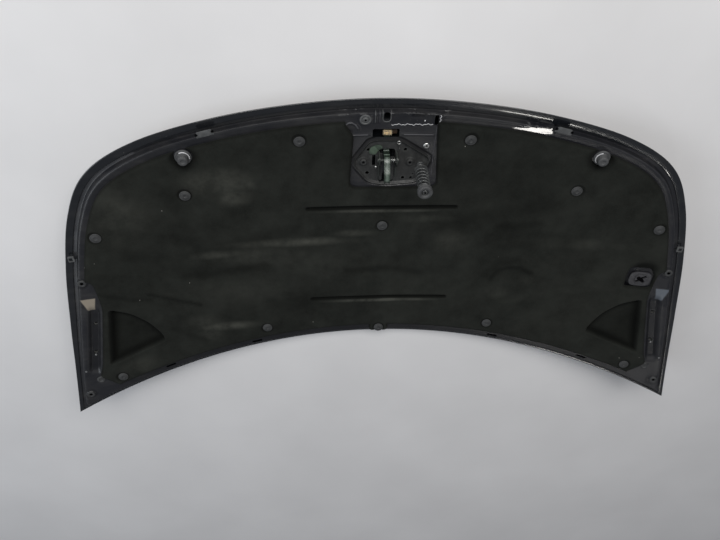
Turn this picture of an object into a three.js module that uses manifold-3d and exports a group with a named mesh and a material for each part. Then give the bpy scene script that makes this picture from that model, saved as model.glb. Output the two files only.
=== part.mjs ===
// Car bonnet, seen from its underside: an outer skin hemmed round a stamped inner panel, with an
// insulating pad and its clips, rubber bumpers, hinge reinforcements, and a catch with a safety hook and a
// pop-up spring.
// Millimetres. The bonnet lies underside up on the crown of its skin: +X is across the car, +Y points to the
// front edge, and +Z points out of the underside. The origin is below the middle of the outline, at the
// lowest point of the skin.

import * as THREE from 'three';
import { mergeVertices } from 'three/addons/utils/BufferGeometryUtils.js';
import Module from 'manifold-3d';

const wasm = await Module();
wasm.setup();

// Outline of the whole bonnet, in plan. A place in the plan is stated as shares of the half width and half
// length, or as a distance from the rear edge, from the front edge or from the catch.
const HALF_WIDTH = 725;
const HALF_LENGTH = 375;
const REAR_ARCH = 163;
const place = (x, y) => [x * HALF_WIDTH, y * HALF_LENGTH];
const fromRear = (x, inset) => {
  const slope = -2 * REAR_ARCH * x / HALF_WIDTH ** 2;
  return [x, -HALF_LENGTH + REAR_ARCH * (1 - (x / HALF_WIDTH) ** 2) + inset * Math.hypot(1, slope)];
};
const SIDE_CURVE = [
  [0.9697, -0.6267], [0.9434, -0.32], [0.9034, 0.0667], [0.8483, 0.4133], [0.7724, 0.648], [0.6372, 0.8027],
  [0.4359, 0.912], [0.2207, 0.976],
].map(([x, y]) => place(x, y));
const PATCH_CORNER = 0.263;

// Crown of the skin
const CROSS_RADIUS = 3200;
const LENGTH_RADIUS = 3500;
const CROWN_Y = 25;
const NOSE_LENGTH = 225;
const NOSE_DROP = 20;

// Sheet thicknesses, the clearance between pieces, and heights above the outside of the skin
const SKIN = 1.0;
const PANEL = 1.0;
const PAD = 7.7;
const CLEAR = 0.3;
const HEM_GAP = 0.55;
const PLATEAU = 18;
const FIELD = 8;
const PAD_EDGE = 3.5;
const PAD_SHOULDER = 9;

// Widths of the bands that follow the outline: at the rear edge, the rear tips, the sides and the front
const HEM_BAND = { rear: 6, tip: 9, side: 14, front: 18 };
const FOOT_BAND = { rear: 9, tip: 14, side: 20, front: 21 };
const WALL_BAND = { rear: 16, tip: 22, side: 29, front: 25 };
const PAD_BAND = { rear: 32, tip: 40, side: 40, front: 39 };
const [, TIP_Y] = place(0, -0.8);
const SIDE_Y = 0;
const [SIDE_X] = place(0.8276, 0);
const [FRONT_X] = place(0.5517, 0);

// Grid that all the sheets share
const COLUMNS = 18;
const ROWS = 8;
const RIB_COLUMNS = [4, 7, 11, 14];
const COLUMN_BIAS = 0.3;
const ROW_BIAS = 0.3;
const LONGEST = 90;

// Lightening openings of the inner panel, between its ribs
const OPENINGS = [place(0.0993, -0.1067), place(0.3669, -0.1067)];
const OPENING_SIZE = [110, 120];
const OPENING_CORNER = 34;

// Hinge channels of the inner panel
const CHANNEL_TOP = place(0.8524, -0.1653);
const CHANNEL_END = place(0.9131, -0.6827);
const CHANNEL_WIDTH = 25;
const CHANNEL_RADIUS = 8;
const CHANNEL_FLOOR = 11;
const CHANNEL_RAMP = 26;
const CHANNEL_STEP = 6;
const CHANNEL_DRAFT = 2;
const HINGE_PLATE = [30, 170, 2];
const HINGE_HOLE_OFFSETS = [-44, 38];
const HINGE_HOLE = 4.5;
const NUT_ACROSS = 13;
const NUT_HEIGHT = 4.4;

// Pressed recess in each rear corner of the pad
const RECESS = [
  place(0.8579, -0.6213), place(0.8166, -0.192), place(0.7559, -0.24),
  place(0.7117, -0.32), place(0.6828, -0.4133), place(0.6717, -0.48),
];
const RECESS_FLOOR = 12;
const RECESS_WALL = 5;
const RECESS_RADIUS = 14;
const RECESS_DRAFT = 5;
const RECESS_GAP = 1.6;
const RECESS_SLOPE = 7;

// Pad cut-outs and grooves
const HINGE_CUTOUT = [
  place(1.0483, -1.0133), place(1.0483, 0.1067), place(0.8966, 0.1067), place(0.8662, 0.032),
  place(0.8359, -0.0107), place(0.8317, -0.12), place(0.8317, -0.1973), place(0.8786, -0.608),
  place(0.8966, -0.6987), place(0.8441, -0.7893), place(0.8276, -0.88),
];
const LATCH_CUTOUT = [
  [-87, 153], [-88, 83], [-71, 58], [-78, -51], [-70, -59], [86, -59], [95, -51], [83, 79], [83, 153],
];
const PROP_CUTOUT = [[-30, -22], [-30, 28], [17, 28], [26, 12], [26, -22]];
const CUTOUT_RADIUS = 9;
const PAD_TAB = [...fromRear(2, 30), 44, 32];
const GROOVES = [place(0, 0.3813), place(0, -0.2533)];
const GROOVE_LENGTH = 312;
const GROOVE_WIDTH = 7;
const GROOVE_DEPTH = 3.5;

// Pad clips, in plan
const CLIPS = [
  ['left_front', ...place(-0.5338, 0.504)], ['right_front', ...place(0.5338, 0.504)],
  ['left_side', ...place(-0.7876, 0.2907)], ['right_side', ...place(0.7876, 0.2907)],
  ['left_top', ...place(-0.2207, 0.7947)], ['right_top', ...place(0.2207, 0.7947)],
  ['left_rear', ...fromRear(-260, 60)], ['right_rear', ...fromRear(260, 60)],
  ['left_corner', ...place(-0.8303, -0.72)], ['right_corner', ...place(0.8303, -0.72)],
  ['centre', ...place(0.0028, 0.2587)], ['rear_centre', ...fromRear(2, 25)],
];
const CLIP_HEAD = 11;
const CLIP_DOME = 2.6;
const CLIP_RIM = 0.8;
const CLIP_STEM = 3.6;
const CLIP_STEM_LENGTH = 12;
const CLIP_HOLE = 4.5;
const CLIP_SEAT = PAD - 1;
const DIMPLE_MARGIN = 1.5;

// Bumpers
const BUMPERS = [['left', ...place(-0.5159, 0.7307)], ['right', ...place(0.5683, 0.7093)]];
const BUMPER_COLLAR = 15.5;
const BUMPER_STUB = 9.5;
const BUMPER_HEIGHT = 20;
const BUMPER_STUD = 4;
const BUMPER_STUD_LENGTH = 9;
const BUMPER_INSERT = 7.5;
const BUMPER_CHAMFER = 2;
const COLLAR_HEIGHT = 4.5;
const INSERT_FLANGE = [3.5, 1.5];

// Stamped details of the inner panel
const BOSSES = [[...place(0.9407, -0.832), 7], [...place(0.8634, -0.0027), 6]];
const BOSS_HOLE = 3;
const BOSS_HEIGHT = 1.6;
const APERTURE = [...place(0.4524, 0.8773), 32, 9];
const APERTURE_TURN = 0.22;
const APERTURE_TAPER = 0.38;
const EDGE_NOTCH = [...place(0.8662, 0.1467), 9, 6];
const REAR_SLOTS = [fromRear(-288, 22), fromRear(-494, 25), fromRear(280, 22), fromRear(502, 25)];
const REAR_SLOT_SIZE = [24, 5];
const FRONT_SLOT = [92, HALF_LENGTH - 39, 7, 20];
const FRONT_NOTCH = [1, HALF_LENGTH - 32, 11, 16];
const PANEL_SEAT = 0.7;
const SEAT_DRAFT = 2;
const PLUG = [-38, HALF_LENGTH - 37];
const PLUG_RADIUS = 11;
const RIVET_RADIUS = 6.2;
const PROP_CENTRE = place(0.7903, -0.0587);
const PROP_SIZE = [46, 36];
const PROP_TUBE = 10;
const PROP_HOLE = 5.5;
const PROP_HEIGHTS = [-7, 2.5, 4.2];
const PROP_KEYWAY = [5, 4, 17, 4.5];
const PROP_CROSS_SLOT = [0, 0, 4.5, 18];

// Catch. Its frame has the origin in the middle of the plate, X across and Y up the slope of the panel.
const LATCH_ORIGIN = [12, HALF_LENGTH - 128];
const CATCH_ZONE = [140, 97];
const RIVET = [LATCH_ORIGIN[0] + 67, LATCH_ORIGIN[1] + 34];
const LATCH_FLOOR = 16.5;
const PLATE_OUTLINE = [[-75, -3], [-42, 45], [-27, 49], [16, 49], [79, 7], [57, -47], [-7, -53], [-42, -47]];
const PLATE_RADIUS = 14;
const PLATE = 1.5;
const PLATE_LIP = 6.5;
const PLATE_DRAFT = 3;
const POCKET_MARGIN = 7;
const SLOT = [-7, -10, 31, 76];
const SLOT_RADIUS = 6;
const BOLTS = [[-52, 1], [38, 0]];
const BOLT_SHANK = 4;
const BOLT_HOLE = 4.6;
const BOLT_LENGTH = 9;
const BOLT_HEAD = [6.5, 5.2];
const BOLT_SOCKET = [1.6, 2.6];
const WASHER = 1.4;
const WASHER_RADIUS = 10;
const PLATE_HOLES = [
  [-43, 26, 2.6], [28, 26, 2.6], [-44, -27, 3], [27, -39, 2.6], [43, -39, 2.2], [46, -30, 1.8],
];
const PLATE_SLIT = [-32, 2, 4, 22];
const EAR_X = [-21, 10];
const EAR = 2.2;
const EAR_HEIGHT = 24;
const PIVOT_Y = 12;
const PIVOT_HEIGHT = 17;
const PIN_RADIUS = 3;
const PIN_CLEARANCE = 0.35;
const PIN_HEAD = [5.5, 3];
const HOOK_X = -8;
const HOOK_WIDTH = 11;
const HOOK_RISE = 56;
const HOOK_SPRING_TURNS = 2.5;
const HOOK_SPRING_WIRE = 0.8;
const TAB = [17, 11, 4];
const ARM_REACH = 67;
const ARM_TOP = -3.8;
const ARM_LOW = -6.5;
const WINDOW = [-11, ARM_REACH - TAB[1] / 2, 50, 19];

// Pop-up spring beside the catch
const STRIKER = [59, -7];
const STRIKER_TILT = 4;
const STRIKER_LENGTH = 86;
const STRIKER_RADIUS = 3;
const STRIKER_BASE = [7.5, 5];
const SEAT_HEIGHT = 20;
const SEAT_RADIUS = 13;
const CUP_RADIUS = 14.4;
const CUP_HEIGHT = 11;
const CUP_DEPTH = 4;
const CUP_WALL = 2;
const CUP_CLEARANCE = 0.5;
const HEAD_RADIUS = 6;
const HEAD_HEIGHT = 4;
const COIL_WIRE = 1.5;
const COIL_RADIUS = 11.5;
const COIL_TURNS = 4.5;
const COIL_STEPS = 10;

const MATERIALS = {
  paint: { color: 0x14151a, roughness: 0.2, metalness: 0 },
  panel: { color: 0x1b1b21, roughness: 0.28, metalness: 0 },
  felt: { color: 0x2b2c2a, roughness: 0.95, metalness: 0 },
  plastic: { color: 0x35363a, roughness: 0.6, metalness: 0 },
  rubber: { color: 0x232426, roughness: 0.8, metalness: 0 },
  coated: { color: 0x2c2e2c, roughness: 0.45, metalness: 0.4 },
  zinc: { color: 0xb8b9b4, roughness: 0.35, metalness: 1 },
  yellow: { color: 0xc79a4e, roughness: 0.4, metalness: 0.8 },
};

const model = new THREE.Group();

// Height of the outside of the skin at a point of the plan
function skinHeight(x, y) {
  const nose = Math.max(0, y - HALF_LENGTH + NOSE_LENGTH) / NOSE_LENGTH;
  return x * x / (2 * CROSS_RADIUS) + (y - CROWN_Y) ** 2 / (2 * LENGTH_RADIUS) + NOSE_DROP * nose * nose;
}

// Slope of the skin along X and Y
function skinSlope(x, y) {
  const step = 1;
  const gx = (skinHeight(x + step, y) - skinHeight(x - step, y)) / (2 * step);
  const gy = (skinHeight(x, y + step) - skinHeight(x, y - step)) / (2 * step);
  return [gx, gy];
}

// Flat plane that touches the skin's curve at x0, y0, raised by a lift
function tangentPlane(x0, y0, lift) {
  const [gx, gy] = skinSlope(x0, y0);
  const z0 = skinHeight(x0, y0) + lift;
  return (x, y) => z0 + gx * (x - x0) + gy * (y - y0);
}

function raised(lift) {
  return (x, y) => skinHeight(x, y) + lift;
}

function addNode(name, geometry, material, parent = model) {
  const mesh = new THREE.Mesh(geometry, new THREE.MeshStandardMaterial(MATERIALS[material]));
  mesh.name = name;
  parent.add(mesh);
  return mesh;
}

// Closed mesh to solid, and back
function solid(geometry) {
  const bare = geometry.clone();
  bare.deleteAttribute('normal');
  bare.deleteAttribute('uv');
  const merged = mergeVertices(bare, 1e-4);
  return new wasm.Manifold(new wasm.Mesh({
    numProp: 3,
    vertProperties: new Float32Array(merged.attributes.position.array),
    triVerts: new Uint32Array(merged.index.array),
  }));
}

function geometryOf(body) {
  const mesh = body.getMesh();
  const geometry = new THREE.BufferGeometry();
  geometry.setAttribute('position', new THREE.BufferAttribute(Float32Array.from(mesh.vertProperties), 3));
  geometry.setIndex(new THREE.BufferAttribute(Uint32Array.from(mesh.triVerts), 1));
  geometry.computeVertexNormals();
  return geometry;
}

// Outline curve from the right rear tip, round the front, to the left rear tip
const outlineCurve = new THREE.SplineCurve([
  new THREE.Vector2(HALF_WIDTH, -HALF_LENGTH),
  ...SIDE_CURVE.map(([x, y]) => new THREE.Vector2(x, y)),
  new THREE.Vector2(0, HALF_LENGTH),
  ...SIDE_CURVE.slice().reverse().map(([x, y]) => new THREE.Vector2(-x, y)),
  new THREE.Vector2(-HALF_WIDTH, -HALF_LENGTH),
]);

// Width of a band at a point of the outline
function bandWidth(band, point) {
  const alongSide = THREE.MathUtils.smoothstep(point.y, TIP_Y, SIDE_Y);
  const alongFront = THREE.MathUtils.smoothstep(SIDE_X - Math.abs(point.x), 0, SIDE_X - FRONT_X);
  const side = THREE.MathUtils.lerp(band.tip, band.side, alongSide);
  return point.y > SIDE_Y ? THREE.MathUtils.lerp(side, band.front, alongFront) : side;
}

function insetPoint(band, u) {
  const point = outlineCurve.getPointAt(u);
  const along = outlineCurve.getTangentAt(u);
  const width = bandWidth(band, point);
  return new THREE.Vector2(point.x - along.y * width, point.y + along.x * width);
}

// Where an inset side meets the inset rear edge, as a place along the outline
function tipPlace(band) {
  let low = 0;
  let high = PATCH_CORNER;
  for (let k = 0; k < 40; k++) {
    const middle = (low + high) / 2;
    const point = insetPoint(band, middle);
    if (point.y < fromRear(point.x, band.rear)[1]) low = middle;
    else high = middle;
  }
  return high;
}

// Share of the way from the rear to the front at a row, closer together towards the front
function rowShare(row) {
  const t = row / ROWS;
  return t + ROW_BIAS * t * (1 - t);
}

// Share of the way from left to right at a column, closer together towards both sides
function columnShare(column) {
  const t = column / COLUMNS;
  return THREE.MathUtils.lerp(t, (1 - Math.cos(Math.PI * t)) / 2, COLUMN_BIAS);
}

// Closed loop at a band's width inside the outline, anticlockwise from the right rear tip
function bandLoop(band) {
  const tip = tipPlace(band);
  const alongSide = (row) => THREE.MathUtils.lerp(tip, PATCH_CORNER, rowShare(row));
  const tipX = insetPoint(band, tip).x;
  const loop = [];
  for (let row = 0; row < ROWS; row++) loop.push(insetPoint(band, alongSide(row)));
  for (let k = 0; k < COLUMNS; k++) {
    loop.push(insetPoint(band, THREE.MathUtils.lerp(PATCH_CORNER, 1 - PATCH_CORNER, columnShare(k))));
  }
  for (let row = ROWS; row > 0; row--) loop.push(insetPoint(band, 1 - alongSide(row)));
  for (let k = 0; k < COLUMNS; k++) {
    const x = THREE.MathUtils.lerp(-tipX, tipX, columnShare(k));
    loop.push(new THREE.Vector2(...fromRear(x, band.rear)));
  }
  return loop;
}

// Grid of plan points that fills a loop, rows from rear to front and columns from left to right
function fillLoop(loop) {
  const right = (j) => loop[j];
  const front = (i) => loop[ROWS + COLUMNS - i];
  const left = (j) => loop[2 * ROWS + COLUMNS - j];
  const rear = (i) => loop[(2 * ROWS + COLUMNS + i) % loop.length];
  const grid = [];
  for (let j = 0; j <= ROWS; j++) {
    const t = rowShare(j);
    const row = [];
    for (let i = 0; i <= COLUMNS; i++) {
      const s = columnShare(i);
      const point = new THREE.Vector2()
        .addScaledVector(rear(i), 1 - t).addScaledVector(front(i), t)
        .addScaledVector(left(j), 1 - s).addScaledVector(right(j), s)
        .addScaledVector(rear(0), -(1 - s) * (1 - t)).addScaledVector(rear(COLUMNS), -s * (1 - t))
        .addScaledVector(front(0), -(1 - s) * t).addScaledVector(front(COLUMNS), -s * t);
      row.push(point);
    }
    grid.push(row);
  }
  for (let j = 0; j <= ROWS; j++) {
    grid[j][0] = left(j);
    grid[j][COLUMNS] = right(j);
  }
  for (let i = 0; i <= COLUMNS; i++) {
    grid[0][i] = rear(i);
    grid[ROWS][i] = front(i);
  }
  return grid;
}

function evenBand(width) {
  return { rear: width, tip: width, side: width, front: width };
}

function widerBand(band, extra) {
  return Object.fromEntries(Object.entries(band).map(([place, width]) => [place, width + extra]));
}

// Closed sheet: a top grid, bands that lead from its rim round the edge to the rim below, and a bottom grid.
// Each station is a band and a height above the outside of the skin.
function sheet(stations, topLift, bottomLift) {
  const positions = [];
  const quad = (a, b, c, d) => {
    for (const p of [a, b, c, a, c, d]) positions.push(p.x, p.y, p.z);
  };
  const place = (point, lift) => new THREE.Vector3(point.x, point.y, skinHeight(point.x, point.y) + lift);
  const loops = stations.map(({ band, lift }) => bandLoop(band).map((point) => place(point, lift)));
  for (let n = 0; n + 1 < loops.length; n++) {
    const inner = loops[n];
    const outer = loops[n + 1];
    for (let k = 0; k < inner.length; k++) {
      const next = (k + 1) % inner.length;
      quad(inner[k], outer[k], outer[next], inner[next]);
    }
  }
  const cover = (station, liftAt, up) => {
    const plan = fillLoop(bandLoop(station.band));
    const at = (i, j) => {
      const rim = i === 0 || j === 0 || i === COLUMNS || j === ROWS;
      return place(plan[j][i], rim ? station.lift : liftAt(plan[j][i], i, j));
    };
    for (let j = 0; j < ROWS; j++) {
      for (let i = 0; i < COLUMNS; i++) {
        const corners = [at(i, j), at(i + 1, j), at(i + 1, j + 1), at(i, j + 1)];
        if (up) quad(...corners);
        else quad(corners[0], corners[3], corners[2], corners[1]);
      }
    }
  };
  cover(stations[0], topLift, true);
  cover(stations[stations.length - 1], bottomLift, false);
  const geometry = new THREE.BufferGeometry();
  geometry.setAttribute('position', new THREE.Float32BufferAttribute(positions, 3));
  return solid(geometry);
}

// Closed solid between two or more loops of points, lowest first, each anticlockwise from above
function loft(rings) {
  const count = rings[0].length;
  const positions = rings.flat().flatMap((p) => [p.x, p.y, p.z]);
  const faces = [];
  for (let r = 0; r + 1 < rings.length; r++) {
    for (let k = 0; k < count; k++) {
      const a = r * count + k;
      const b = r * count + (k + 1) % count;
      faces.push(a, b, b + count, a, b + count, a + count);
    }
  }
  const last = (rings.length - 1) * count;
  const plan = rings[0].map((p) => new THREE.Vector2(p.x, p.y));
  for (const [a, b, c] of THREE.ShapeUtils.triangulateShape(plan, [])) {
    faces.push(c, b, a);
    faces.push(last + a, last + b, last + c);
  }
  const geometry = new THREE.BufferGeometry();
  geometry.setAttribute('position', new THREE.Float32BufferAttribute(positions, 3));
  geometry.setIndex(faces);
  return solid(geometry);
}

function anticlockwise(corners) {
  const points = corners.map(([x, y]) => new THREE.Vector2(x, y));
  return THREE.ShapeUtils.isClockWise(points) ? points.reverse() : points;
}

// Outline moved outwards by a distance, corner by corner
function offsetOutline(points, distance) {
  return points.map((point, k) => {
    const before = points[(k + points.length - 1) % points.length];
    const after = points[(k + 1) % points.length];
    const a = point.clone().sub(before).normalize();
    const b = after.clone().sub(point).normalize();
    const normalA = new THREE.Vector2(a.y, -a.x);
    const normalB = new THREE.Vector2(b.y, -b.x);
    const middle = normalA.clone().add(normalB);
    return point.clone().addScaledVector(middle, distance / (1 + normalA.dot(normalB)));
  });
}

function roundCorners(points, radius, steps) {
  const rounded = [];
  points.forEach((point, k) => {
    const before = points[(k + points.length - 1) % points.length];
    const after = points[(k + 1) % points.length];
    const reach = Math.min(radius, point.distanceTo(before) * 0.45, point.distanceTo(after) * 0.45);
    const start = point.clone().lerp(before, reach / point.distanceTo(before));
    const end = point.clone().lerp(after, reach / point.distanceTo(after));
    const curve = new THREE.QuadraticBezierCurve(start, point, end);
    rounded.push(...curve.getPoints(steps));
  });
  return rounded;
}

// Outline with its corners rounded and its long edges divided, as often as those of an outline like it
function roundOutline(points, radius, steps = 3, longest = LONGEST, like = points) {
  const rounded = roundCorners(points, radius, steps);
  const guide = roundCorners(like, radius, steps);
  const divided = [];
  rounded.forEach((point, k) => {
    const next = rounded[(k + 1) % rounded.length];
    const span = guide[k].distanceTo(guide[(k + 1) % guide.length]);
    const parts = Math.max(1, Math.round(span / longest));
    for (let n = 0; n < parts; n++) divided.push(point.clone().lerp(next, n / parts));
  });
  return divided;
}

function circle(x, y, radius, sides) {
  const points = [];
  for (let k = 0; k < sides; k++) {
    const angle = 2 * Math.PI * k / sides;
    points.push(new THREE.Vector2(x + radius * Math.cos(angle), y + radius * Math.sin(angle)));
  }
  return points;
}

function rectangle(x, y, width, height) {
  return anticlockwise([
    [x - width / 2, y - height / 2], [x + width / 2, y - height / 2],
    [x + width / 2, y + height / 2], [x - width / 2, y + height / 2],
  ]);
}

function atHeight(outline, height) {
  return outline.map((p) => new THREE.Vector3(p.x, p.y, height(p.x, p.y)));
}

// Upright block between two surfaces, inside an outline
function block(outline, low, high) {
  return loft([atHeight(outline, low), atHeight(outline, high)]);
}

// Adds a pressed tray to a sheet. The rim's corners lie at the sheet and the floor's at the bottom.
function pressTray(body, rim, floor, radius, floorHeight, rimHeight, wall) {
  const sunk = (x, y) => floorHeight(x, y) - wall;
  const shallow = (x, y) => rimHeight(x, y) - 2 * CLEAR;
  const above = (x, y) => rimHeight(x, y) + PLATEAU;
  const round = (corners, grow) => roundOutline(offsetOutline(corners, grow), radius, 2, LONGEST, rim);
  const shell = loft([atHeight(round(floor, wall), sunk), atHeight(round(rim, wall), shallow)]);
  const mouth = round(rim, 0);
  const hollow = loft([
    atHeight(round(floor, 0), floorHeight), atHeight(mouth, rimHeight), atHeight(mouth, above),
  ]);
  return body.add(shell).subtract(hollow);
}

function mirrored(points, side) {
  const moved = points.map((p) => new THREE.Vector2(side * p.x, p.y));
  return side < 0 ? moved.reverse() : moved;
}

// Outer skin with its hem folded back over the inner panel's flange
function outerSkin() {
  const hemLow = SKIN + HEM_GAP + PANEL + HEM_GAP;
  const hemTop = hemLow + SKIN;
  const fold = SKIN / 2;
  return sheet([
    { band: FOOT_BAND, lift: SKIN },
    { band: evenBand(SKIN), lift: SKIN },
    { band: evenBand(SKIN), lift: hemLow },
    { band: HEM_BAND, lift: hemLow },
    { band: HEM_BAND, lift: hemTop },
    { band: evenBand(fold), lift: hemTop },
    { band: evenBand(0), lift: hemTop - fold },
    { band: evenBand(0), lift: fold },
    { band: evenBand(fold), lift: 0 },
    { band: FOOT_BAND, lift: 0 },
  ], () => SKIN, () => 0);
}

function nearClip(point) {
  return CLIPS.some(([, x, y]) => Math.hypot(point.x - x, point.y - y) < 48);
}

// Height of the inner panel inside its outer plateau: ribs and towers stand up to the pad, fields lie low
function panelLift(point, i, j) {
  const rim = i <= 1 || j <= 1 || i >= COLUMNS - 1 || j >= ROWS - 1;
  const rib = RIB_COLUMNS.includes(i);
  const [zoneX, zoneY] = CATCH_ZONE;
  const catchZone = Math.abs(point.x - LATCH_ORIGIN[0]) < zoneX && point.y > LATCH_ORIGIN[1] - zoneY;
  return rim || rib || catchZone || nearClip(point) ? PLATEAU : FIELD;
}

// Hinge channel: rim and floor outlines on one side, and the flat plane of its floor
function channelShape(side) {
  const top = new THREE.Vector2(...CHANNEL_TOP);
  const end = new THREE.Vector2(...CHANNEL_END);
  const along = end.clone().sub(top).normalize();
  const across = new THREE.Vector2(-along.y, along.x);
  const corner = (base, shift, reach) => base.clone()
    .addScaledVector(across, shift).addScaledVector(along, reach);
  const half = CHANNEL_WIDTH / 2;
  const rim = [corner(top, -half, 0), corner(end, -half, 0), corner(end, half, 0), corner(top, half, 0)];
  const low = half - CHANNEL_DRAFT;
  const floor = [
    corner(top, -low, CHANNEL_RAMP), corner(end, -low, -CHANNEL_STEP),
    corner(end, low, -CHANNEL_STEP), corner(top, low, CHANNEL_RAMP),
  ];
  const ordered = (points) => anticlockwise(points.map((p) => [p.x, p.y]));
  const middle = top.clone().lerp(end, 0.5);
  const centre = new THREE.Vector2(side * middle.x, middle.y);
  return {
    rim: mirrored(ordered(rim), side),
    floor: mirrored(ordered(floor), side),
    plane: tangentPlane(centre.x, centre.y, CHANNEL_FLOOR),
    centre,
    angle: Math.atan2(along.y, side * along.x),
    holes: HINGE_HOLE_OFFSETS.map((reach) => {
      const place = middle.clone().addScaledVector(along, reach);
      return new THREE.Vector2(side * place.x, place.y);
    }),
  };
}

function cutHole(body, outline) {
  return body.subtract(block(outline, raised(0), raised(PLATEAU + PAD)));
}

// Loop of points round the skin's normal at a place, at a height along it from the panel's plateau
function loopRound(x, y, radius, along, sides) {
  const [gx, gy] = skinSlope(x, y);
  const normal = new THREE.Vector3(-gx, -gy, 1).normalize();
  const turn = new THREE.Quaternion().setFromUnitVectors(new THREE.Vector3(0, 0, 1), normal);
  const centre = new THREE.Vector3(x, y, skinHeight(x, y) + PLATEAU);
  return circle(0, 0, radius, sides)
    .map((p) => new THREE.Vector3(p.x, p.y, along).applyQuaternion(turn).add(centre));
}

// Flat-topped stamped seat on the plateau
function standing(x, y, radius, height) {
  return loft([loopRound(x, y, radius + SEAT_DRAFT, -PANEL / 2, 10), loopRound(x, y, radius, height, 10)]);
}

function holeThrough(x, y, radius, sides = 6) {
  return loft([loopRound(x, y, radius, -CLIP_STEM_LENGTH, sides), loopRound(x, y, radius, 2 * PAD, sides)]);
}

// Frame of the catch: turned to the slope of the panel
const latchSlope = Math.atan(skinSlope(...LATCH_ORIGIN)[1]);
const latchHeight = skinHeight(...LATCH_ORIGIN) + LATCH_FLOOR;
const latchFloor = (x, y) => latchHeight + Math.tan(latchSlope) * (y - LATCH_ORIGIN[1]);
const latchPlan = (outline) => outline.map((p) => new THREE.Vector2(
  p.x + LATCH_ORIGIN[0], p.y * Math.cos(latchSlope) + LATCH_ORIGIN[1],
));
const plateCorners = anticlockwise(PLATE_OUTLINE);
const slotOutline = roundOutline(rectangle(...SLOT), SLOT_RADIUS, 2);
const windowOutline = roundOutline(rectangle(...WINDOW), SLOT_RADIUS / 2, 2);
const plateEdge = (grow) => roundOutline(
  offsetOutline(plateCorners, grow), PLATE_RADIUS, 2, LONGEST, plateCorners,
);

// Sheet of the inner panel: its flange in the hem, the wall that rises inside it, and the plateau
function panelSheet() {
  const low = SKIN + HEM_GAP;
  const top = low + PANEL;
  const flange = evenBand(SKIN + HEM_GAP);
  return sheet([
    { band: PAD_BAND, lift: PLATEAU },
    { band: WALL_BAND, lift: PLATEAU },
    { band: FOOT_BAND, lift: top },
    { band: flange, lift: top },
    { band: flange, lift: low },
    { band: widerBand(FOOT_BAND, PANEL / 2), lift: low },
    { band: widerBand(WALL_BAND, PANEL / 2), lift: PLATEAU - PANEL },
    { band: PAD_BAND, lift: PLATEAU - PANEL },
  ], panelLift, (point, i, j) => panelLift(point, i, j) - PANEL);
}

// Pressed hinge channel with its bolt holes
function pressChannel(body, side) {
  const channel = channelShape(side);
  const pressed = pressTray(
    body, channel.rim, channel.floor, CHANNEL_RADIUS, channel.plane, raised(PLATEAU), PANEL,
  );
  return channel.holes.reduce((cut, hole) => cutHole(cut, circle(hole.x, hole.y, HINGE_HOLE, 12)), pressed);
}

// Pressed bed under the pad's corner recess
function pressRecessBed(body, side) {
  const recess = mirrored(anticlockwise(RECESS), side);
  const spread = RECESS_WALL + 2 * CLEAR;
  const rim = offsetOutline(recess, spread);
  const bottom = offsetOutline(recess, spread - RECESS_DRAFT);
  const floor = raised(RECESS_FLOOR - RECESS_WALL - RECESS_GAP);
  return pressTray(body, rim, bottom, RECESS_RADIUS, floor, raised(PLATEAU), PANEL);
}

// Four-sided aperture, narrower towards the front and turned to follow the front edge
function apertureOutline(side) {
  const [middleX, middleY, width, height] = APERTURE;
  const turn = -side * APERTURE_TURN;
  const corners = [[-0.5, -0.5], [0.5, -0.5], [APERTURE_TAPER, 0.5], [-APERTURE_TAPER, 0.5]];
  return anticlockwise(corners.map(([a, b]) => [
    side * middleX + a * width * Math.cos(turn) - b * height * Math.sin(turn),
    middleY + a * width * Math.sin(turn) + b * height * Math.cos(turn),
  ]));
}

// Openings and stamped bosses that both sides have
function pierceSide(body, side) {
  for (const [x, y] of OPENINGS) {
    const opening = rectangle(side * x, y, ...OPENING_SIZE);
    body = cutHole(body, roundOutline(opening, OPENING_CORNER, 2));
  }
  for (const [x, y, radius] of BOSSES) {
    body = body.add(standing(side * x, y, radius, BOSS_HEIGHT));
    body = body.subtract(holeThrough(side * x, y, BOSS_HOLE));
  }
  const [notchX, notchY, notchWidth, notchLength] = EDGE_NOTCH;
  body = cutHole(body, rectangle(side * notchX, notchY, notchWidth, notchLength));
  return cutHole(body, apertureOutline(side));
}

// Seats and holes for the clips, bumpers, plug, rivet and prop-rod socket
function pierceSeats(body) {
  for (const [, x, y] of CLIPS) body = body.subtract(holeThrough(x, y, CLIP_HOLE));
  for (const [, x, y] of BUMPERS) {
    body = body.add(standing(x, y, BUMPER_COLLAR, PANEL_SEAT));
    body = body.subtract(holeThrough(x, y, BUMPER_INSERT + 2 * CLEAR, 12));
  }
  body = body.add(standing(...PLUG, PLUG_RADIUS + 1, PANEL_SEAT));
  body = body.add(standing(...RIVET, RIVET_RADIUS + 1, PANEL_SEAT));
  return cutHole(body, circle(...PROP_CENTRE, PROP_TUBE + 1, 12));
}

// Pocket for the catch's plate, its bolt holes and the slot that the hook's arm runs through
function pressLatchPocket(body) {
  const pocket = latchPlan(offsetOutline(plateCorners, POCKET_MARGIN));
  const pocketFloor = latchPlan(offsetOutline(plateCorners, POCKET_MARGIN - PLATE_DRAFT));
  body = pressTray(body, pocket, pocketFloor, PLATE_RADIUS, latchFloor, raised(PLATEAU), PANEL);
  for (const cut of [slotOutline, windowOutline]) body = cutHole(body, latchPlan(cut));
  for (const [x, y] of BOLTS) body = cutHole(body, latchPlan(circle(x, y, BOLT_HOLE, 12)));
  return body;
}

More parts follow.
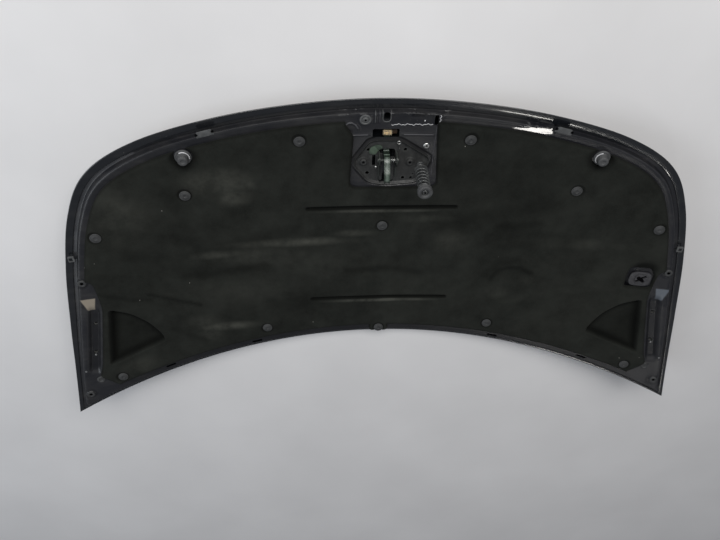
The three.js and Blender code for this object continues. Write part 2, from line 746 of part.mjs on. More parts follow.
function innerPanel() {
  let body = panelSheet();
  for (const side of [-1, 1]) {
    body = pressChannel(body, side);
    body = pressRecessBed(body, side);
    body = pierceSide(body, side);
  }
  body = pierceSeats(body);
  body = pressLatchPocket(body);
  for (const [x, y] of REAR_SLOTS) body = cutHole(body, rectangle(x, y, ...REAR_SLOT_SIZE));
  for (const cut of [FRONT_SLOT, FRONT_NOTCH]) body = cutHole(body, roundOutline(rectangle(...cut), 3, 2));
  return body;
}

// Dimple that a clip's head pulls into the pad
function clipDimple(x, y) {
  const low = CLIP_SEAT - CLEAR;
  return loft([
    loopRound(x, y, CLIP_HEAD + DIMPLE_MARGIN, low, 8),
    loopRound(x, y, CLIP_HEAD + 2 * DIMPLE_MARGIN, low + PAD, 8),
  ]);
}

// Insulating pad: one felt sheet with thin edges, cut round the catch and the hinges
function insulatorPad() {
  const low = PLATEAU + CLEAR;
  const top = low + PAD;
  const cutTop = raised(top + PAD);
  let body = sheet([
    { band: widerBand(PAD_BAND, PAD_SHOULDER), lift: top },
    { band: widerBand(PAD_BAND, PAD_SHOULDER / 4), lift: low + PAD_EDGE + PAD / 6 },
    { band: PAD_BAND, lift: low + PAD_EDGE },
    { band: PAD_BAND, lift: low },
  ], () => top, () => low);
  for (const side of [-1, 1]) {
    const recess = mirrored(anticlockwise(RECESS), side);
    const bottom = offsetOutline(recess, -RECESS_SLOPE);
    body = pressTray(body, recess, bottom, RECESS_RADIUS, raised(RECESS_FLOOR), raised(top), RECESS_WALL);
    const cutout = mirrored(roundOutline(anticlockwise(HINGE_CUTOUT), CUTOUT_RADIUS, 2), side);
    body = body.subtract(block(cutout, raised(0), cutTop));
  }
  for (const [corners, [middleX, middleY]] of [[LATCH_CUTOUT, LATCH_ORIGIN], [PROP_CUTOUT, PROP_CENTRE]]) {
    const cutout = anticlockwise(corners.map(([x, y]) => [x + middleX, y + middleY]));
    body = body.subtract(block(roundOutline(cutout, CUTOUT_RADIUS, 2), raised(0), cutTop));
  }
  const tab = roundOutline(rectangle(...PAD_TAB), CUTOUT_RADIUS, 2);
  body = body.add(block(tab, raised(low + CLEAR), raised(top)));
  for (const [x, y] of GROOVES) {
    const groove = roundOutline(rectangle(x, y, GROOVE_LENGTH, GROOVE_WIDTH), GROOVE_WIDTH / 2, 2, 60);
    body = body.subtract(block(groove, raised(top - GROOVE_DEPTH), cutTop));
  }
  for (const [, x, y] of CLIPS) {
    body = body.subtract(clipDimple(x, y)).subtract(holeThrough(x, y, CLIP_HOLE));
  }
  for (const [, x, y] of BUMPERS) {
    body = body.subtract(holeThrough(x, y, BUMPER_COLLAR + DIMPLE_MARGIN, 12));
  }
  return body;
}

// Group that stands on the panel's plateau at a place, with +Z along the skin's normal
function standAt(x, y, along) {
  const group = new THREE.Group();
  const [gx, gy] = skinSlope(x, y);
  group.position.set(x, y, skinHeight(x, y) + PLATEAU);
  group.quaternion.setFromUnitVectors(new THREE.Vector3(0, 0, 1), new THREE.Vector3(-gx, -gy, 1).normalize());
  group.translateZ(along);
  model.add(group);
  return group;
}

// Turned solid from a profile of radius and height pairs, its axis along +Z
function turned(profile, segments) {
  const points = profile.map(([radius, height]) => new THREE.Vector2(radius, height));
  const geometry = new THREE.LatheGeometry(points, segments);
  geometry.rotateX(Math.PI / 2);
  return geometry;
}

function turnedSolid(profile, segments) {
  return solid(turned(profile, segments));
}

function padClip(name, x, y) {
  const group = standAt(x, y, CLIP_SEAT);
  addNode(`clip_${name}`, geometryOf(turnedSolid([
    [0, -CLIP_STEM_LENGTH], [CLIP_STEM, -CLIP_STEM_LENGTH], [CLIP_STEM, 0], [CLIP_HEAD, 0],
    [CLIP_HEAD, CLIP_RIM], [CLIP_HEAD * 0.6, CLIP_DOME], [0, CLIP_DOME],
  ], 8)), 'plastic', group);
}

// Rubber bumper screwed into a threaded insert in the panel
function bumper(name, x, y) {
  const group = standAt(x, y, PANEL_SEAT);
  const bore = BUMPER_STUD + CLEAR;
  const seat = INSERT_FLANGE[1] + CLEAR;
  const flange = BUMPER_INSERT + INSERT_FLANGE[0];
  addNode(`bumper_insert_${name}`, geometryOf(turnedSolid([
    [bore, -BUMPER_STUD_LENGTH], [BUMPER_INSERT, -BUMPER_STUD_LENGTH], [BUMPER_INSERT, CLEAR],
    [flange, CLEAR], [flange, seat], [bore, seat], [bore, -BUMPER_STUD_LENGTH],
  ], 12)), 'plastic', group);
  const low = seat + CLEAR;
  const collarTop = low + COLLAR_HEIGHT;
  const studEnd = 1 - BUMPER_STUD_LENGTH;
  addNode(`bumper_${name}`, geometryOf(turnedSolid([
    [0, studEnd], [BUMPER_STUD, studEnd], [BUMPER_STUD, low], [BUMPER_COLLAR, low],
    [BUMPER_COLLAR, collarTop - BUMPER_CHAMFER], [BUMPER_COLLAR - BUMPER_CHAMFER, collarTop],
    [BUMPER_STUB, collarTop], [BUMPER_STUB, BUMPER_HEIGHT - BUMPER_CHAMFER],
    [BUMPER_STUB - BUMPER_CHAMFER, BUMPER_HEIGHT], [0, BUMPER_HEIGHT],
  ], 14)), 'rubber', group);
}

// Hinge reinforcement below each channel, with its weld nuts
function hingeReinforcement(name, side) {
  const channel = channelShape(side);
  const drop = (distance) => (x, y) => channel.plane(x, y) - distance;
  const [width, length, thickness] = HINGE_PLATE;
  const corners = rectangle(0, 0, length, width).map((p) => p.clone()
    .rotateAround(new THREE.Vector2(), channel.angle).add(channel.centre));
  const outline = roundOutline(anticlockwise(corners.map((p) => [p.x, p.y])), CHANNEL_RADIUS, 2);
  const top = PANEL + CLEAR;
  let plate = block(outline, drop(top + thickness), drop(top));
  for (const hole of channel.holes) {
    plate = plate.subtract(block(circle(hole.x, hole.y, HINGE_HOLE, 12), drop(20), drop(0)));
  }
  addNode(`hinge_reinforcement_${name}`, geometryOf(plate), 'coated');
  channel.holes.forEach((hole, k) => {
    const nutTop = top + thickness + CLEAR;
    const hexagon = circle(hole.x, hole.y, NUT_ACROSS / Math.sqrt(3), 6);
    const nut = block(hexagon, drop(nutTop + NUT_HEIGHT), drop(nutTop))
      .subtract(block(circle(hole.x, hole.y, HINGE_HOLE - 1, 10), drop(20), drop(0)));
    addNode(`hinge_nut_${name}_${k + 1}`, geometryOf(nut), 'zinc');
  });
}

// Catch group: plate, bolts, hook, pivot pin, return spring and release tab
const latch = new THREE.Group();
latch.position.set(...LATCH_ORIGIN, latchHeight);
latch.rotation.x = latchSlope;
model.add(latch);
const plateTop = CLEAR + PLATE;

// Straight-sided solid from an outline, from one height to another
function prism(outline, low, high) {
  return block(outline, () => low, () => high);
}

// Solid cut from an outline in the Y and Z plane, spread along X
function sidePlate(corners, middleX, width, radius) {
  const shape = new THREE.Shape(roundOutline(anticlockwise(corners), radius, 2));
  const geometry = new THREE.ExtrudeGeometry(shape, { depth: width, bevelEnabled: false });
  geometry.rotateY(Math.PI / 2);
  geometry.rotateX(Math.PI / 2);
  geometry.translate(middleX - width / 2, 0, 0);
  return solid(geometry);
}

function crossPin(radius, fromX, toX, y, z, sides = 14) {
  const geometry = turned([[0, fromX], [radius, fromX], [radius, toX], [0, toX]], sides);
  geometry.rotateY(Math.PI / 2);
  geometry.translate(0, y, z);
  return solid(geometry);
}

// Hole along the pivot's axis, through all that the pin passes
function pivotHole() {
  const reach = 2 * HOOK_RISE;
  return crossPin(PIN_RADIUS + PIN_CLEARANCE, -reach, reach, PIVOT_Y, PIVOT_HEIGHT);
}

// Dished plate with a raised lip, pierced, with two ears that carry the pivot pin
function latchPlate() {
  const level = (height) => () => height;
  const inner = plateEdge(-PLATE);
  let body = loft([
    atHeight(plateEdge(-PLATE_DRAFT), level(CLEAR)), atHeight(plateEdge(0), level(PLATE_LIP)),
  ]);
  body = body.subtract(loft([
    atHeight(plateEdge(-PLATE - PLATE_DRAFT), level(plateTop)), atHeight(inner, level(PLATE_LIP)),
    atHeight(inner, level(2 * PLATE_LIP)),
  ]));
  const holes = [
    slotOutline, rectangle(...PLATE_SLIT),
    ...PLATE_HOLES.map(([x, y, radius]) => circle(x, y, radius, 8)),
    ...BOLTS.map(([x, y]) => circle(x, y, BOLT_HOLE, 12)),
  ];
  for (const hole of holes) body = body.subtract(prism(hole, 0, plateTop + CLEAR));
  for (const x of EAR_X) {
    const outward = x < HOOK_X ? -1 : 1;
    const ear = sidePlate([
      [PIVOT_Y - 15, CLEAR], [PIVOT_Y + 12, CLEAR], [PIVOT_Y + 7, EAR_HEIGHT], [PIVOT_Y - 7, EAR_HEIGHT],
    ], x + outward * EAR / 2, EAR, 7);
    body = body.add(ear.subtract(pivotHole()));
  }
  return body;
}

function latchBolt(index, x, y) {
  const low = plateTop + CLEAR;
  const headLow = low + WASHER;
  const top = headLow + BOLT_HEAD[1];
  const socketLow = top - BOLT_SOCKET[1];
  addNode(`latch_bolt_${index}`, geometryOf(turnedSolid([
    [0, -BOLT_LENGTH], [BOLT_SHANK, -BOLT_LENGTH], [BOLT_SHANK, low], [WASHER_RADIUS, low],
    [WASHER_RADIUS, headLow], [BOLT_HEAD[0], headLow], [BOLT_HEAD[0], top - 1], [BOLT_HEAD[0] - 1, top],
    [BOLT_SOCKET[0], top], [BOLT_SOCKET[0], socketLow], [0, socketLow],
  ], 10)), 'coated', latch).position.set(x, y, 0);
}

// Safety hook: the nose stands up from the pivot and the arm runs down through the slot to the window
function safetyHook() {
  const nose = [
    [22, 10], [24, 20], [16, 29], [2, 38], [-14, HOOK_RISE - 6], [-30, HOOK_RISE], [-42, HOOK_RISE - 8],
    [-45, HOOK_RISE - 22], [-37, HOOK_RISE - 23], [-31, HOOK_RISE - 13], [-21, HOOK_RISE - 15], [-8, 28],
    [0, 18], [4, 6],
  ];
  const arm = [
    [8, 12], [8, ARM_LOW], [ARM_REACH, ARM_LOW], [ARM_REACH, ARM_TOP], [22, ARM_TOP], [19, 0], [22, 12],
  ];
  const relief = [[-1, 27], [-14, 41], [-29, 49], [-31, 44], [-17, 37], [-6, 26]];
  return sidePlate(nose, HOOK_X, HOOK_WIDTH, 5)
    .add(sidePlate(arm, HOOK_X, HOOK_WIDTH, 3))
    .subtract(sidePlate(relief, HOOK_X, HOOK_WIDTH / 2, 3))
    .subtract(pivotHole());
}

// Round wire along a helix about +Z, from one height to another
function coil(radius, wire, turns, low, high, flare = 0) {
  const steps = COIL_STEPS * turns;
  const points = [];
  for (let k = 0; k <= steps; k++) {
    const angle = 2 * Math.PI * k / COIL_STEPS;
    const reach = radius + flare * k / steps;
    const height = THREE.MathUtils.lerp(low, high, k / steps);
    points.push(new THREE.Vector3(reach * Math.cos(angle), reach * Math.sin(angle), height));
  }
  const extrudePath = new THREE.CatmullRomCurve3(points);
  const section = new THREE.Shape(circle(0, 0, wire, 5));
  return new THREE.ExtrudeGeometry(section, { extrudePath, steps, bevelEnabled: false });
}

function catchPieces() {
  addNode('latch_plate', geometryOf(latchPlate()), 'coated', latch);
  BOLTS.forEach(([x, y], k) => latchBolt(k + 1, x, y));
  addNode('safety_hook', geometryOf(safetyHook()), 'coated', latch);
  const earLeft = EAR_X[0] - EAR;
  const earRight = EAR_X[1] + EAR;
  const pin = crossPin(PIN_RADIUS, earLeft - PIN_HEAD[1], earRight + PIN_HEAD[1], PIVOT_Y, PIVOT_HEIGHT)
    .add(crossPin(PIN_HEAD[0], earLeft - PIN_HEAD[1], earLeft - CLEAR, PIVOT_Y, PIVOT_HEIGHT))
    .add(crossPin(PIN_HEAD[0], earRight + CLEAR, earRight + PIN_HEAD[1], PIVOT_Y, PIVOT_HEIGHT));
  addNode('pivot_pin', geometryOf(pin), 'zinc', latch);
  const springLow = HOOK_X + HOOK_WIDTH / 2 + HOOK_SPRING_WIRE + CLEAR;
  const springHigh = EAR_X[1] - HOOK_SPRING_WIRE - CLEAR;
  const springRadius = PIN_RADIUS + HOOK_SPRING_WIRE + 2 * CLEAR;
  const spring = coil(springRadius, HOOK_SPRING_WIRE, HOOK_SPRING_TURNS, springLow, springHigh);
  spring.rotateY(Math.PI / 2);
  spring.translate(0, PIVOT_Y, PIVOT_HEIGHT);
  addNode('hook_spring', spring, 'zinc', latch);
  const [tabWidth, tabLength, tabHeight] = TAB;
  const outline = roundOutline(rectangle(HOOK_X, ARM_REACH - tabLength / 2, tabWidth, tabLength), 2, 2);
  const tab = prism(outline, ARM_TOP + CLEAR, ARM_TOP + CLEAR + tabHeight);
  addNode('release_tab', geometryOf(tab), 'yellow', latch);
}

// Striker pin: its riveted foot, the spring's seat, the shank and the head
function strikerPin(foot, headLow) {
  const [baseRadius, baseHeight] = STRIKER_BASE;
  const seatLow = SEAT_HEIGHT - PLATE;
  const socketLow = STRIKER_LENGTH - BOLT_SOCKET[1];
  return geometryOf(turnedSolid([
    [0, foot], [baseRadius, foot], [baseRadius, baseHeight], [STRIKER_RADIUS, baseHeight + 2],
    [STRIKER_RADIUS, seatLow], [SEAT_RADIUS, seatLow], [SEAT_RADIUS, SEAT_HEIGHT],
    [STRIKER_RADIUS, SEAT_HEIGHT], [STRIKER_RADIUS, headLow], [HEAD_RADIUS, headLow],
    [HEAD_RADIUS, STRIKER_LENGTH - 2], [HEAD_RADIUS - 2, STRIKER_LENGTH], [BOLT_SOCKET[0], STRIKER_LENGTH],
    [BOLT_SOCKET[0], socketLow], [0, socketLow],
  ], 12));
}

// Rubber cup on the spring's end, dished for the pin's head
function springCup(cupLow, headLow) {
  const bore = STRIKER_RADIUS + CUP_CLEARANCE;
  const dish = HEAD_RADIUS + CUP_CLEARANCE;
  const cupTop = cupLow + CUP_HEIGHT;
  const roof = cupLow + CUP_DEPTH;
  const inside = CUP_RADIUS - CUP_WALL;
  return geometryOf(turnedSolid([
    [bore, roof], [inside, roof], [inside, cupLow], [CUP_RADIUS, cupLow],
    [CUP_RADIUS, cupTop - CUP_WALL], [CUP_RADIUS - CUP_WALL, cupTop], [dish + CUP_WALL, cupTop],
    [dish, headLow - CLEAR], [bore, headLow - CLEAR], [bore, roof],
  ], 16));
}

// Pop-up spring: striker pin with its seat, the coil, and the cup that the pin's head holds
function popUpSpring() {
  const group = new THREE.Group();
  group.position.set(...STRIKER, plateTop + CLEAR);
  const tilt = THREE.MathUtils.degToRad(STRIKER_TILT);
  group.rotation.x = tilt;
  latch.add(group);
  const foot = STRIKER_BASE[0] * Math.tan(tilt);
  const cupLow = STRIKER_LENGTH - CUP_HEIGHT + 2;
  const headLow = STRIKER_LENGTH - HEAD_HEIGHT;
  addNode('striker_pin', strikerPin(foot, headLow), 'zinc', group);
  addNode('spring_cup', springCup(cupLow, headLow), 'rubber', group);
  const coilLow = SEAT_HEIGHT + COIL_WIRE + CLEAR;
  const coilHigh = cupLow + CUP_DEPTH - COIL_WIRE - CLEAR;
  const flare = CUP_RADIUS - CUP_WALL - CUP_CLEARANCE - COIL_WIRE - COIL_RADIUS;
  const spring = coil(COIL_RADIUS, COIL_WIRE, COIL_TURNS, coilLow, coilHigh, flare);
  addNode('buffer_spring', spring, 'coated', group);
}

// Keyhole socket for the prop rod, on the right side only
function propReceiver() {
  const group = standAt(...PROP_CENTRE, 2 * CLEAR);
  const [tubeEnd, flangeTop, top] = PROP_HEIGHTS;
  const flange = roundOutline(rectangle(0, 0, ...PROP_SIZE), 16, 3);
  const raisedPart = roundOutline(rectangle(2, 0, PROP_SIZE[0] - 20, PROP_SIZE[1] - 12), 10, 3);
  const body = prism(flange, 0, flangeTop)
    .add(prism(circle(0, 0, PROP_TUBE, 14), tubeEnd, flangeTop / 2))
    .add(prism(raisedPart, 0, top))
    .subtract(prism(circle(0, 0, PROP_HOLE, 12), tubeEnd - 1, top + 1))
    .subtract(prism(rectangle(...PROP_KEYWAY), tubeEnd - 1, top + 1))
    .subtract(prism(rectangle(...PROP_CROSS_SLOT), flangeTop / 2, top + 1));
  addNode('prop_rod_socket', geometryOf(body), 'plastic', group);
}

function smallPieces() {
  const plug = standAt(...PLUG, PANEL_SEAT + CLEAR);
  addNode('locating_plug', geometryOf(turnedSolid([
    [0, 0], [PLUG_RADIUS, 0], [PLUG_RADIUS, 1.2], [7.5, 2.2], [7, 1.4], [4.5, 1.4], [3.8, 2.8], [1.2, 2.8],
    [1.2, 1], [0, 1],
  ], 12)), 'plastic', plug);
  const rivet = standAt(...RIVET, PANEL_SEAT + CLEAR);
  addNode('earth_rivet', geometryOf(turnedSolid([
    [0, 0], [RIVET_RADIUS, 0], [RIVET_RADIUS, 1], [4.6, 2.2], [2.2, 2.2], [1.8, 0.8], [0, 0.8],
  ], 10)), 'zinc', rivet);
}

addNode('outer_skin', geometryOf(outerSkin()), 'paint');
addNode('inner_panel', geometryOf(innerPanel()), 'panel');
addNode('insulator_pad', geometryOf(insulatorPad()), 'felt');
for (const [name, x, y] of CLIPS) padClip(name, x, y);
for (const [name, x, y] of BUMPERS) bumper(name, x, y);
hingeReinforcement('left', -1);
hingeReinforcement('right', 1);
catchPieces();
popUpSpring();
propReceiver();
smallPieces();

export default model;
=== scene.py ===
# Car bonnet seen from its underside: a hemmed skin, a stamped inner panel, an insulating pad with its clips,
# bumpers, hinge channels, and a catch with a safety hook and a pop-up spring.
# Plan sizes in this file are millimetres in the frame's own axes. Finished meshes are metres.

import math

import bmesh
import bpy
import numpy as np
from bpy.props import FloatProperty, FloatVectorProperty, IntProperty, PointerProperty
from mathutils import Matrix, Vector
from mathutils.geometry import delaunay_2d_cdt


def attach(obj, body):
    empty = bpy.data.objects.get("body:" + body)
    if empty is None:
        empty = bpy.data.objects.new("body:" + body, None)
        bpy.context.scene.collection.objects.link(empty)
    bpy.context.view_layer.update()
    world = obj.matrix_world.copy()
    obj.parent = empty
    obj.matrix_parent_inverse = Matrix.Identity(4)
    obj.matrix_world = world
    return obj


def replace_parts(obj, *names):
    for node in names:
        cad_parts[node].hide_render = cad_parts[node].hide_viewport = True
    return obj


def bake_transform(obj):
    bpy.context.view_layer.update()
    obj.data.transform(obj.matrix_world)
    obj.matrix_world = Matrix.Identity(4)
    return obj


bl_info = {
    "name": "Car bonnet underside",
    "version": (1, 0, 0),
    "blender": (4, 5, 0),
    "location": "3D View > Sidebar > Bonnet",
    "description": "Builds the underside of a car bonnet with its pad, catch, bumpers and hinge channels",
    "category": "Add Mesh",
}

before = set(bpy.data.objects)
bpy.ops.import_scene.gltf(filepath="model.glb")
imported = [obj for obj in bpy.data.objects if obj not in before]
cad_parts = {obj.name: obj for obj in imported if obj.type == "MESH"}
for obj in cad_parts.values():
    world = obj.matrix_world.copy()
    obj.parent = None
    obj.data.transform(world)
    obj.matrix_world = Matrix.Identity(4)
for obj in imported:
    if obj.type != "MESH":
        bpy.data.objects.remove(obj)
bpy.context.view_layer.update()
MM = 0.001

# Outline in plan, and the crown of the skin
HALF_WIDTH, HALF_LENGTH, REAR_ARCH = 725.0, 375.0, 163.0
SIDE_SHARES = (
    (0.9697, -0.6267), (0.9434, -0.32), (0.9034, 0.0667), (0.8483, 0.4133),
    (0.7724, 0.648), (0.6372, 0.8027), (0.4359, 0.912), (0.2207, 0.976),
)
PATCH_CORNER = 0.263
CROSS_RADIUS, LENGTH_RADIUS, CROWN_Y = 3200.0, 3500.0, 25.0
NOSE_START, NOSE_DROP = 150.0, 20.0

# Heights above the outside of the skin
SKIN, PANEL, HEM_GAP, CLEAR = 1.0, 1.0, 0.55, 0.3
FLANGE = SKIN + HEM_GAP + PANEL
PLATEAU, FIELD = 18.0, 8.0
PAD_LOW = PLATEAU + CLEAR

# Widths of the bands that follow the outline: rear edge, rear tips, sides and front
HEM_BAND = (6, 9, 14, 18)
FOOT_BAND = (9, 14, 20, 21)
WALL_BAND = (16, 22, 29, 25)
PAD_BAND = (32, 40, 40, 39)

RIB_COLUMNS, COLUMNS, ROWS = (4, 7, 11, 14), 18, 8
CLIPS = [
    (-387, 189), (387, 189), (-571, 109), (571, 109), (-160, 298), (160, 298), (-602, -270), (602, -270),
    (2, 97),
]
BUMPERS = [(-374, 274), (412, 266)]
BOSSES = [(682, -312, 7), (626, -1, 6)]
LATCH = (12.0, 247.0)
LATCH_FLOOR = 16.5
PROP = (573.0, -22.0)
PLUG, RIVET = (-38.0, 338.0), (79.0, 281.0)
PLATE_OUTLINE = [(-75, -3), (-42, 45), (-27, 49), (16, 49), (79, 7), (57, -47), (-7, -53), (-42, -47)]
CHANNEL_TOP, CHANNEL_END, CHANNEL_HALF = (618.0, -62.0), (662.0, -256.0), 12.5
RECESS = [(622, -233), (592, -72), (548, -90), (516, -120), (495, -155), (487, -180)]
HINGE_CUTOUT = [
    (760, -380), (760, 40), (650, 40), (628, 12), (606, -4), (603, -45), (603, -74), (637, -228), (650, -262),
    (612, -296), (600, -330),
]
LATCH_CUTOUT = [
    (-87, 153), (-88, 83), (-71, 58), (-78, -51), (-70, -59), (86, -59), (95, -51), (83, 79), (83, 153),
]
PROP_CUTOUT = [(-30, -22), (-30, 28), (17, 28), (26, 12), (26, -22)]
RECESS_BED = 5.4
GROOVES, GROOVE_HALF = (143, -95), 152
ROUND_MARK, PROP_BAY = (297, -57), (572, 6)
NOTCHES = (628, 55)
BLANKING_PLATES, BLANKING_TURN = (328, 318.5), 0.22

# Catch, in the plane of its plate
SLOT, LEVER_SLOT, WINDOW = (-7, -10, 31, 76), (-32, 2, 6.5, 24), (-11, 61.5, 50, 19)
PLATE_HOLES = ((-43, 26, 3.4), (28, 26, 3.4), (-44, -27, 3.8), (27, -39, 3.4), (43, -39, 2.8))
PLATE_HEIGHT, PLATE_RIM = 1.8, 6.5
BOLTS = ((-52, 1), (38, 0))
STRIKER, STRIKER_TILT = (59, -7), 4
HOOK_X, EARS = -8, (-21, 10)
PIVOT_Y, PIVOT_Z, PIVOT_HOLE = 12, 17, 3.35
NOSE_SCALE_Y, NOSE_SCALE_Z = 0.72, 0.74
WIRE, COIL_RADIUS = 1.5, 11.5

# Heights of the clips' heads and of the pressed seats above the plateau
CLIP_RISE, SEAT_RISE = 6.7, 0.7

# Flat facet of the panel that mirrors the lamp: its middle, height and slopes
FACET, FACET_HEIGHT, FACET_SLOPES = (275, 318), 53.3, (0.082, 0.22)

# Camera: place in metres, and its pitch, yaw and roll in degrees
CAMERA_PLACE, CAMERA_TURNS = (-0.0947, 0.7291, 1.0194), (-36.9287, 2.9608, 0.7822)
SENSOR_WIDTH, LENS = 36, 28


# Surfaces in plan

def skin_height(x, y):
    nose = np.maximum(0, np.asarray(y, float) - NOSE_START) / (HALF_LENGTH - NOSE_START)
    crown = np.square(x) / (2 * CROSS_RADIUS) + np.square(np.asarray(y) - CROWN_Y) / (2 * LENGTH_RADIUS)
    return crown + NOSE_DROP * nose ** 2


def skin_normal(x, y):
    step = 1.0
    slope_x = float(skin_height(x + step, y) - skin_height(x - step, y)) / (2 * step)
    slope_y = float(skin_height(x, y + step) - skin_height(x, y - step)) / (2 * step)
    return Vector((-slope_x, -slope_y, 1)).normalized()


def rear_edge(x, inset=0.0):
    slope = -2 * REAR_ARCH * np.asarray(x, float) / HALF_WIDTH ** 2
    arch = REAR_ARCH * (1 - (np.asarray(x, float) / HALF_WIDTH) ** 2)
    return -HALF_LENGTH + arch + inset * np.hypot(1, slope)


def outline_table(divisions=3000):
    side = [(a * HALF_WIDTH, b * HALF_LENGTH) for a, b in SIDE_SHARES]
    knots = np.array(
        [(HALF_WIDTH, -HALF_LENGTH), *side, (0, HALF_LENGTH), *[(-x, y) for x, y in reversed(side)],
         (-HALF_WIDTH, -HALF_LENGTH)], float,
    )
    last = len(knots) - 1
    t = np.linspace(0, last, divisions + 1)
    k = np.minimum(t.astype(int), last - 1)
    w = (t - k)[:, None]
    start, end = knots[k], knots[k + 1]
    before, after = knots[np.maximum(k - 1, 0)], knots[np.minimum(k + 2, last)]
    out, into = (end - before) / 2, (after - start) / 2
    cubic, square = 2 * start - 2 * end + out + into, 3 * end - 3 * start - 2 * out - into
    points = cubic * w ** 3 + square * w ** 2 + out * w + start
    run = np.concatenate([[0], np.cumsum(np.linalg.norm(np.diff(points, axis=0), axis=1))])
    along = np.gradient(points, axis=0)
    return run / run[-1], points, along / np.linalg.norm(along, axis=1)[:, None]


SHARES, EDGE_POINTS, EDGE_TANGENTS = outline_table()


def smoothstep(value, low, high):
    t = np.clip((np.asarray(value, float) - low) / (high - low), 0, 1)
    return t * t * (3 - 2 * t)


def fade(value, low, high):
    """1 up to the low place, 0 from the high place."""
    return 1 - smoothstep(value, low, high)


def between(value, rise_start, rise_end, fall_start, fall_end):
    """1 in the middle of a range, with a soft rise before it and a soft fall after it."""
    return smoothstep(value, rise_start, rise_end) * fade(value, fall_start, fall_end)


def bell(distance, width):
    return np.exp(-(distance / width) ** 2)


def blend_values(a, b, share):
    return a * (1 - share) + b * share


def band_width(band, points):
    rear, tip, side, front = band
    beside = blend_values(tip, side, smoothstep(points[:, 1], -300, 0))
    forward = smoothstep(600 - np.abs(points[:, 0]), 0, 200)
    return np.where(points[:, 1] > 0, blend_values(beside, front, forward), beside)


def inset_points(band, share):
    points = np.stack([np.interp(share, SHARES, EDGE_POINTS[:, k]) for k in (0, 1)], 1)
    along = np.stack([np.interp(share, SHARES, EDGE_TANGENTS[:, k]) for k in (0, 1)], 1)
    width = band_width(band, points)[:, None]
    return points + np.stack([-along[:, 1], along[:, 0]], 1) * width


def tip_share(band):
    low, high = 0.0, PATCH_CORNER
    for _ in range(40):
        middle = (low + high) / 2
        x, y = inset_points(band, np.array([middle]))[0]
        if y < rear_edge(x, band[0]):
            low = middle
        else:
            high = middle
    return high


def band_loop(band, rows, columns):
    """Closed loop at a band's width inside the outline, anticlockwise from the right rear tip."""
    tip = tip_share(band)
    side = blend_values(tip, PATCH_CORNER, np.arange(rows) / rows)
    front = blend_values(PATCH_CORNER, 1 - PATCH_CORNER, np.arange(columns) / columns)
    tip_x = inset_points(band, np.array([tip]))[0, 0]
    x = blend_values(-tip_x, tip_x, np.arange(columns) / columns)
    left = 1 - blend_values(tip, PATCH_CORNER, np.arange(rows, 0, -1) / rows)
    return np.vstack([
        inset_points(band, side), inset_points(band, front), inset_points(band, left),
        np.stack([x, rear_edge(x, band[0])], 1),
    ])


def even_band(width):
    return (width,) * 4


def between_bands(a, b, share):
    return tuple(blend_values(p, q, share) for p, q in zip(a, b))


def fill_grid(loop, rows, columns):
    right, front = loop[: rows + 1], loop[rows: rows + columns + 1][::-1]
    left = loop[rows + columns: 2 * rows + columns + 1][::-1]
    rear = np.vstack([loop[2 * rows + columns:], loop[:1]])
    t = (np.arange(rows + 1) / rows)[:, None, None]
    s = (np.arange(columns + 1) / columns)[None, :, None]
    corners = (1 - s) * (1 - t) * rear[0] + s * (1 - t) * rear[-1]
    corners = corners + (1 - s) * t * front[0] + s * t * front[-1]
    return (1 - t) * rear[None] + t * front[None] + (1 - s) * left[:, None] + s * right[:, None] - corners


def inside(points, loop):
    """Which of the points lie inside a closed loop."""
    loop = np.asarray(loop, float)
    found = np.zeros(len(points), bool)
    x, y = points[:, 0], points[:, 1]
    for a, b in zip(loop, np.roll(loop, -1, axis=0)):
        if a[1] == b[1]:
            continue
        crosses = (a[1] > y) != (b[1] > y)
        found ^= crosses & (x < (b[0] - a[0]) * (y - a[1]) / (b[1] - a[1]) + a[0])
    return found


def distance_to(points, starts, ends):
    """Distance of each point to the nearest of some straight edges."""
    best = np.full(len(points), 1e9)
    for a, b in zip(np.asarray(starts, float), np.asarray(ends, float)):
        d = b - a
        t = np.clip(((points - a) @ d) / max(d @ d, 1e-9), 0, 1)
        best = np.minimum(best, np.hypot(points[:, 0] - a[0] - t * d[0], points[:, 1] - a[1] - t * d[1]))
    return best


def loop_distance(points, loop):
    loop = np.asarray(loop, float)
    return distance_to(points, loop, np.roll(loop, -1, axis=0))


def line_distance(points, line):
    line = np.asarray(line, float)
    return distance_to(points, line[:-1], line[1:])


def anticlockwise(loop):
    loop = np.asarray(loop, float)
    x, y = loop[:, 0], loop[:, 1]
    area = np.sum(x * np.roll(y, -1) - np.roll(x, -1) * y)
    return loop if area > 0 else loop[::-1]


def offset_loop(loop, distance):
    loop = np.asarray(loop, float)
    a = loop - np.roll(loop, 1, axis=0)
    b = np.roll(loop, -1, axis=0) - loop
    a /= np.linalg.norm(a, axis=1)[:, None]
    b /= np.linalg.norm(b, axis=1)[:, None]
    side_a, side_b = np.stack([a[:, 1], -a[:, 0]], 1), np.stack([b[:, 1], -b[:, 0]], 1)
    return loop + (side_a + side_b) * (distance / (1 + np.sum(side_a * side_b, axis=1)))[:, None]


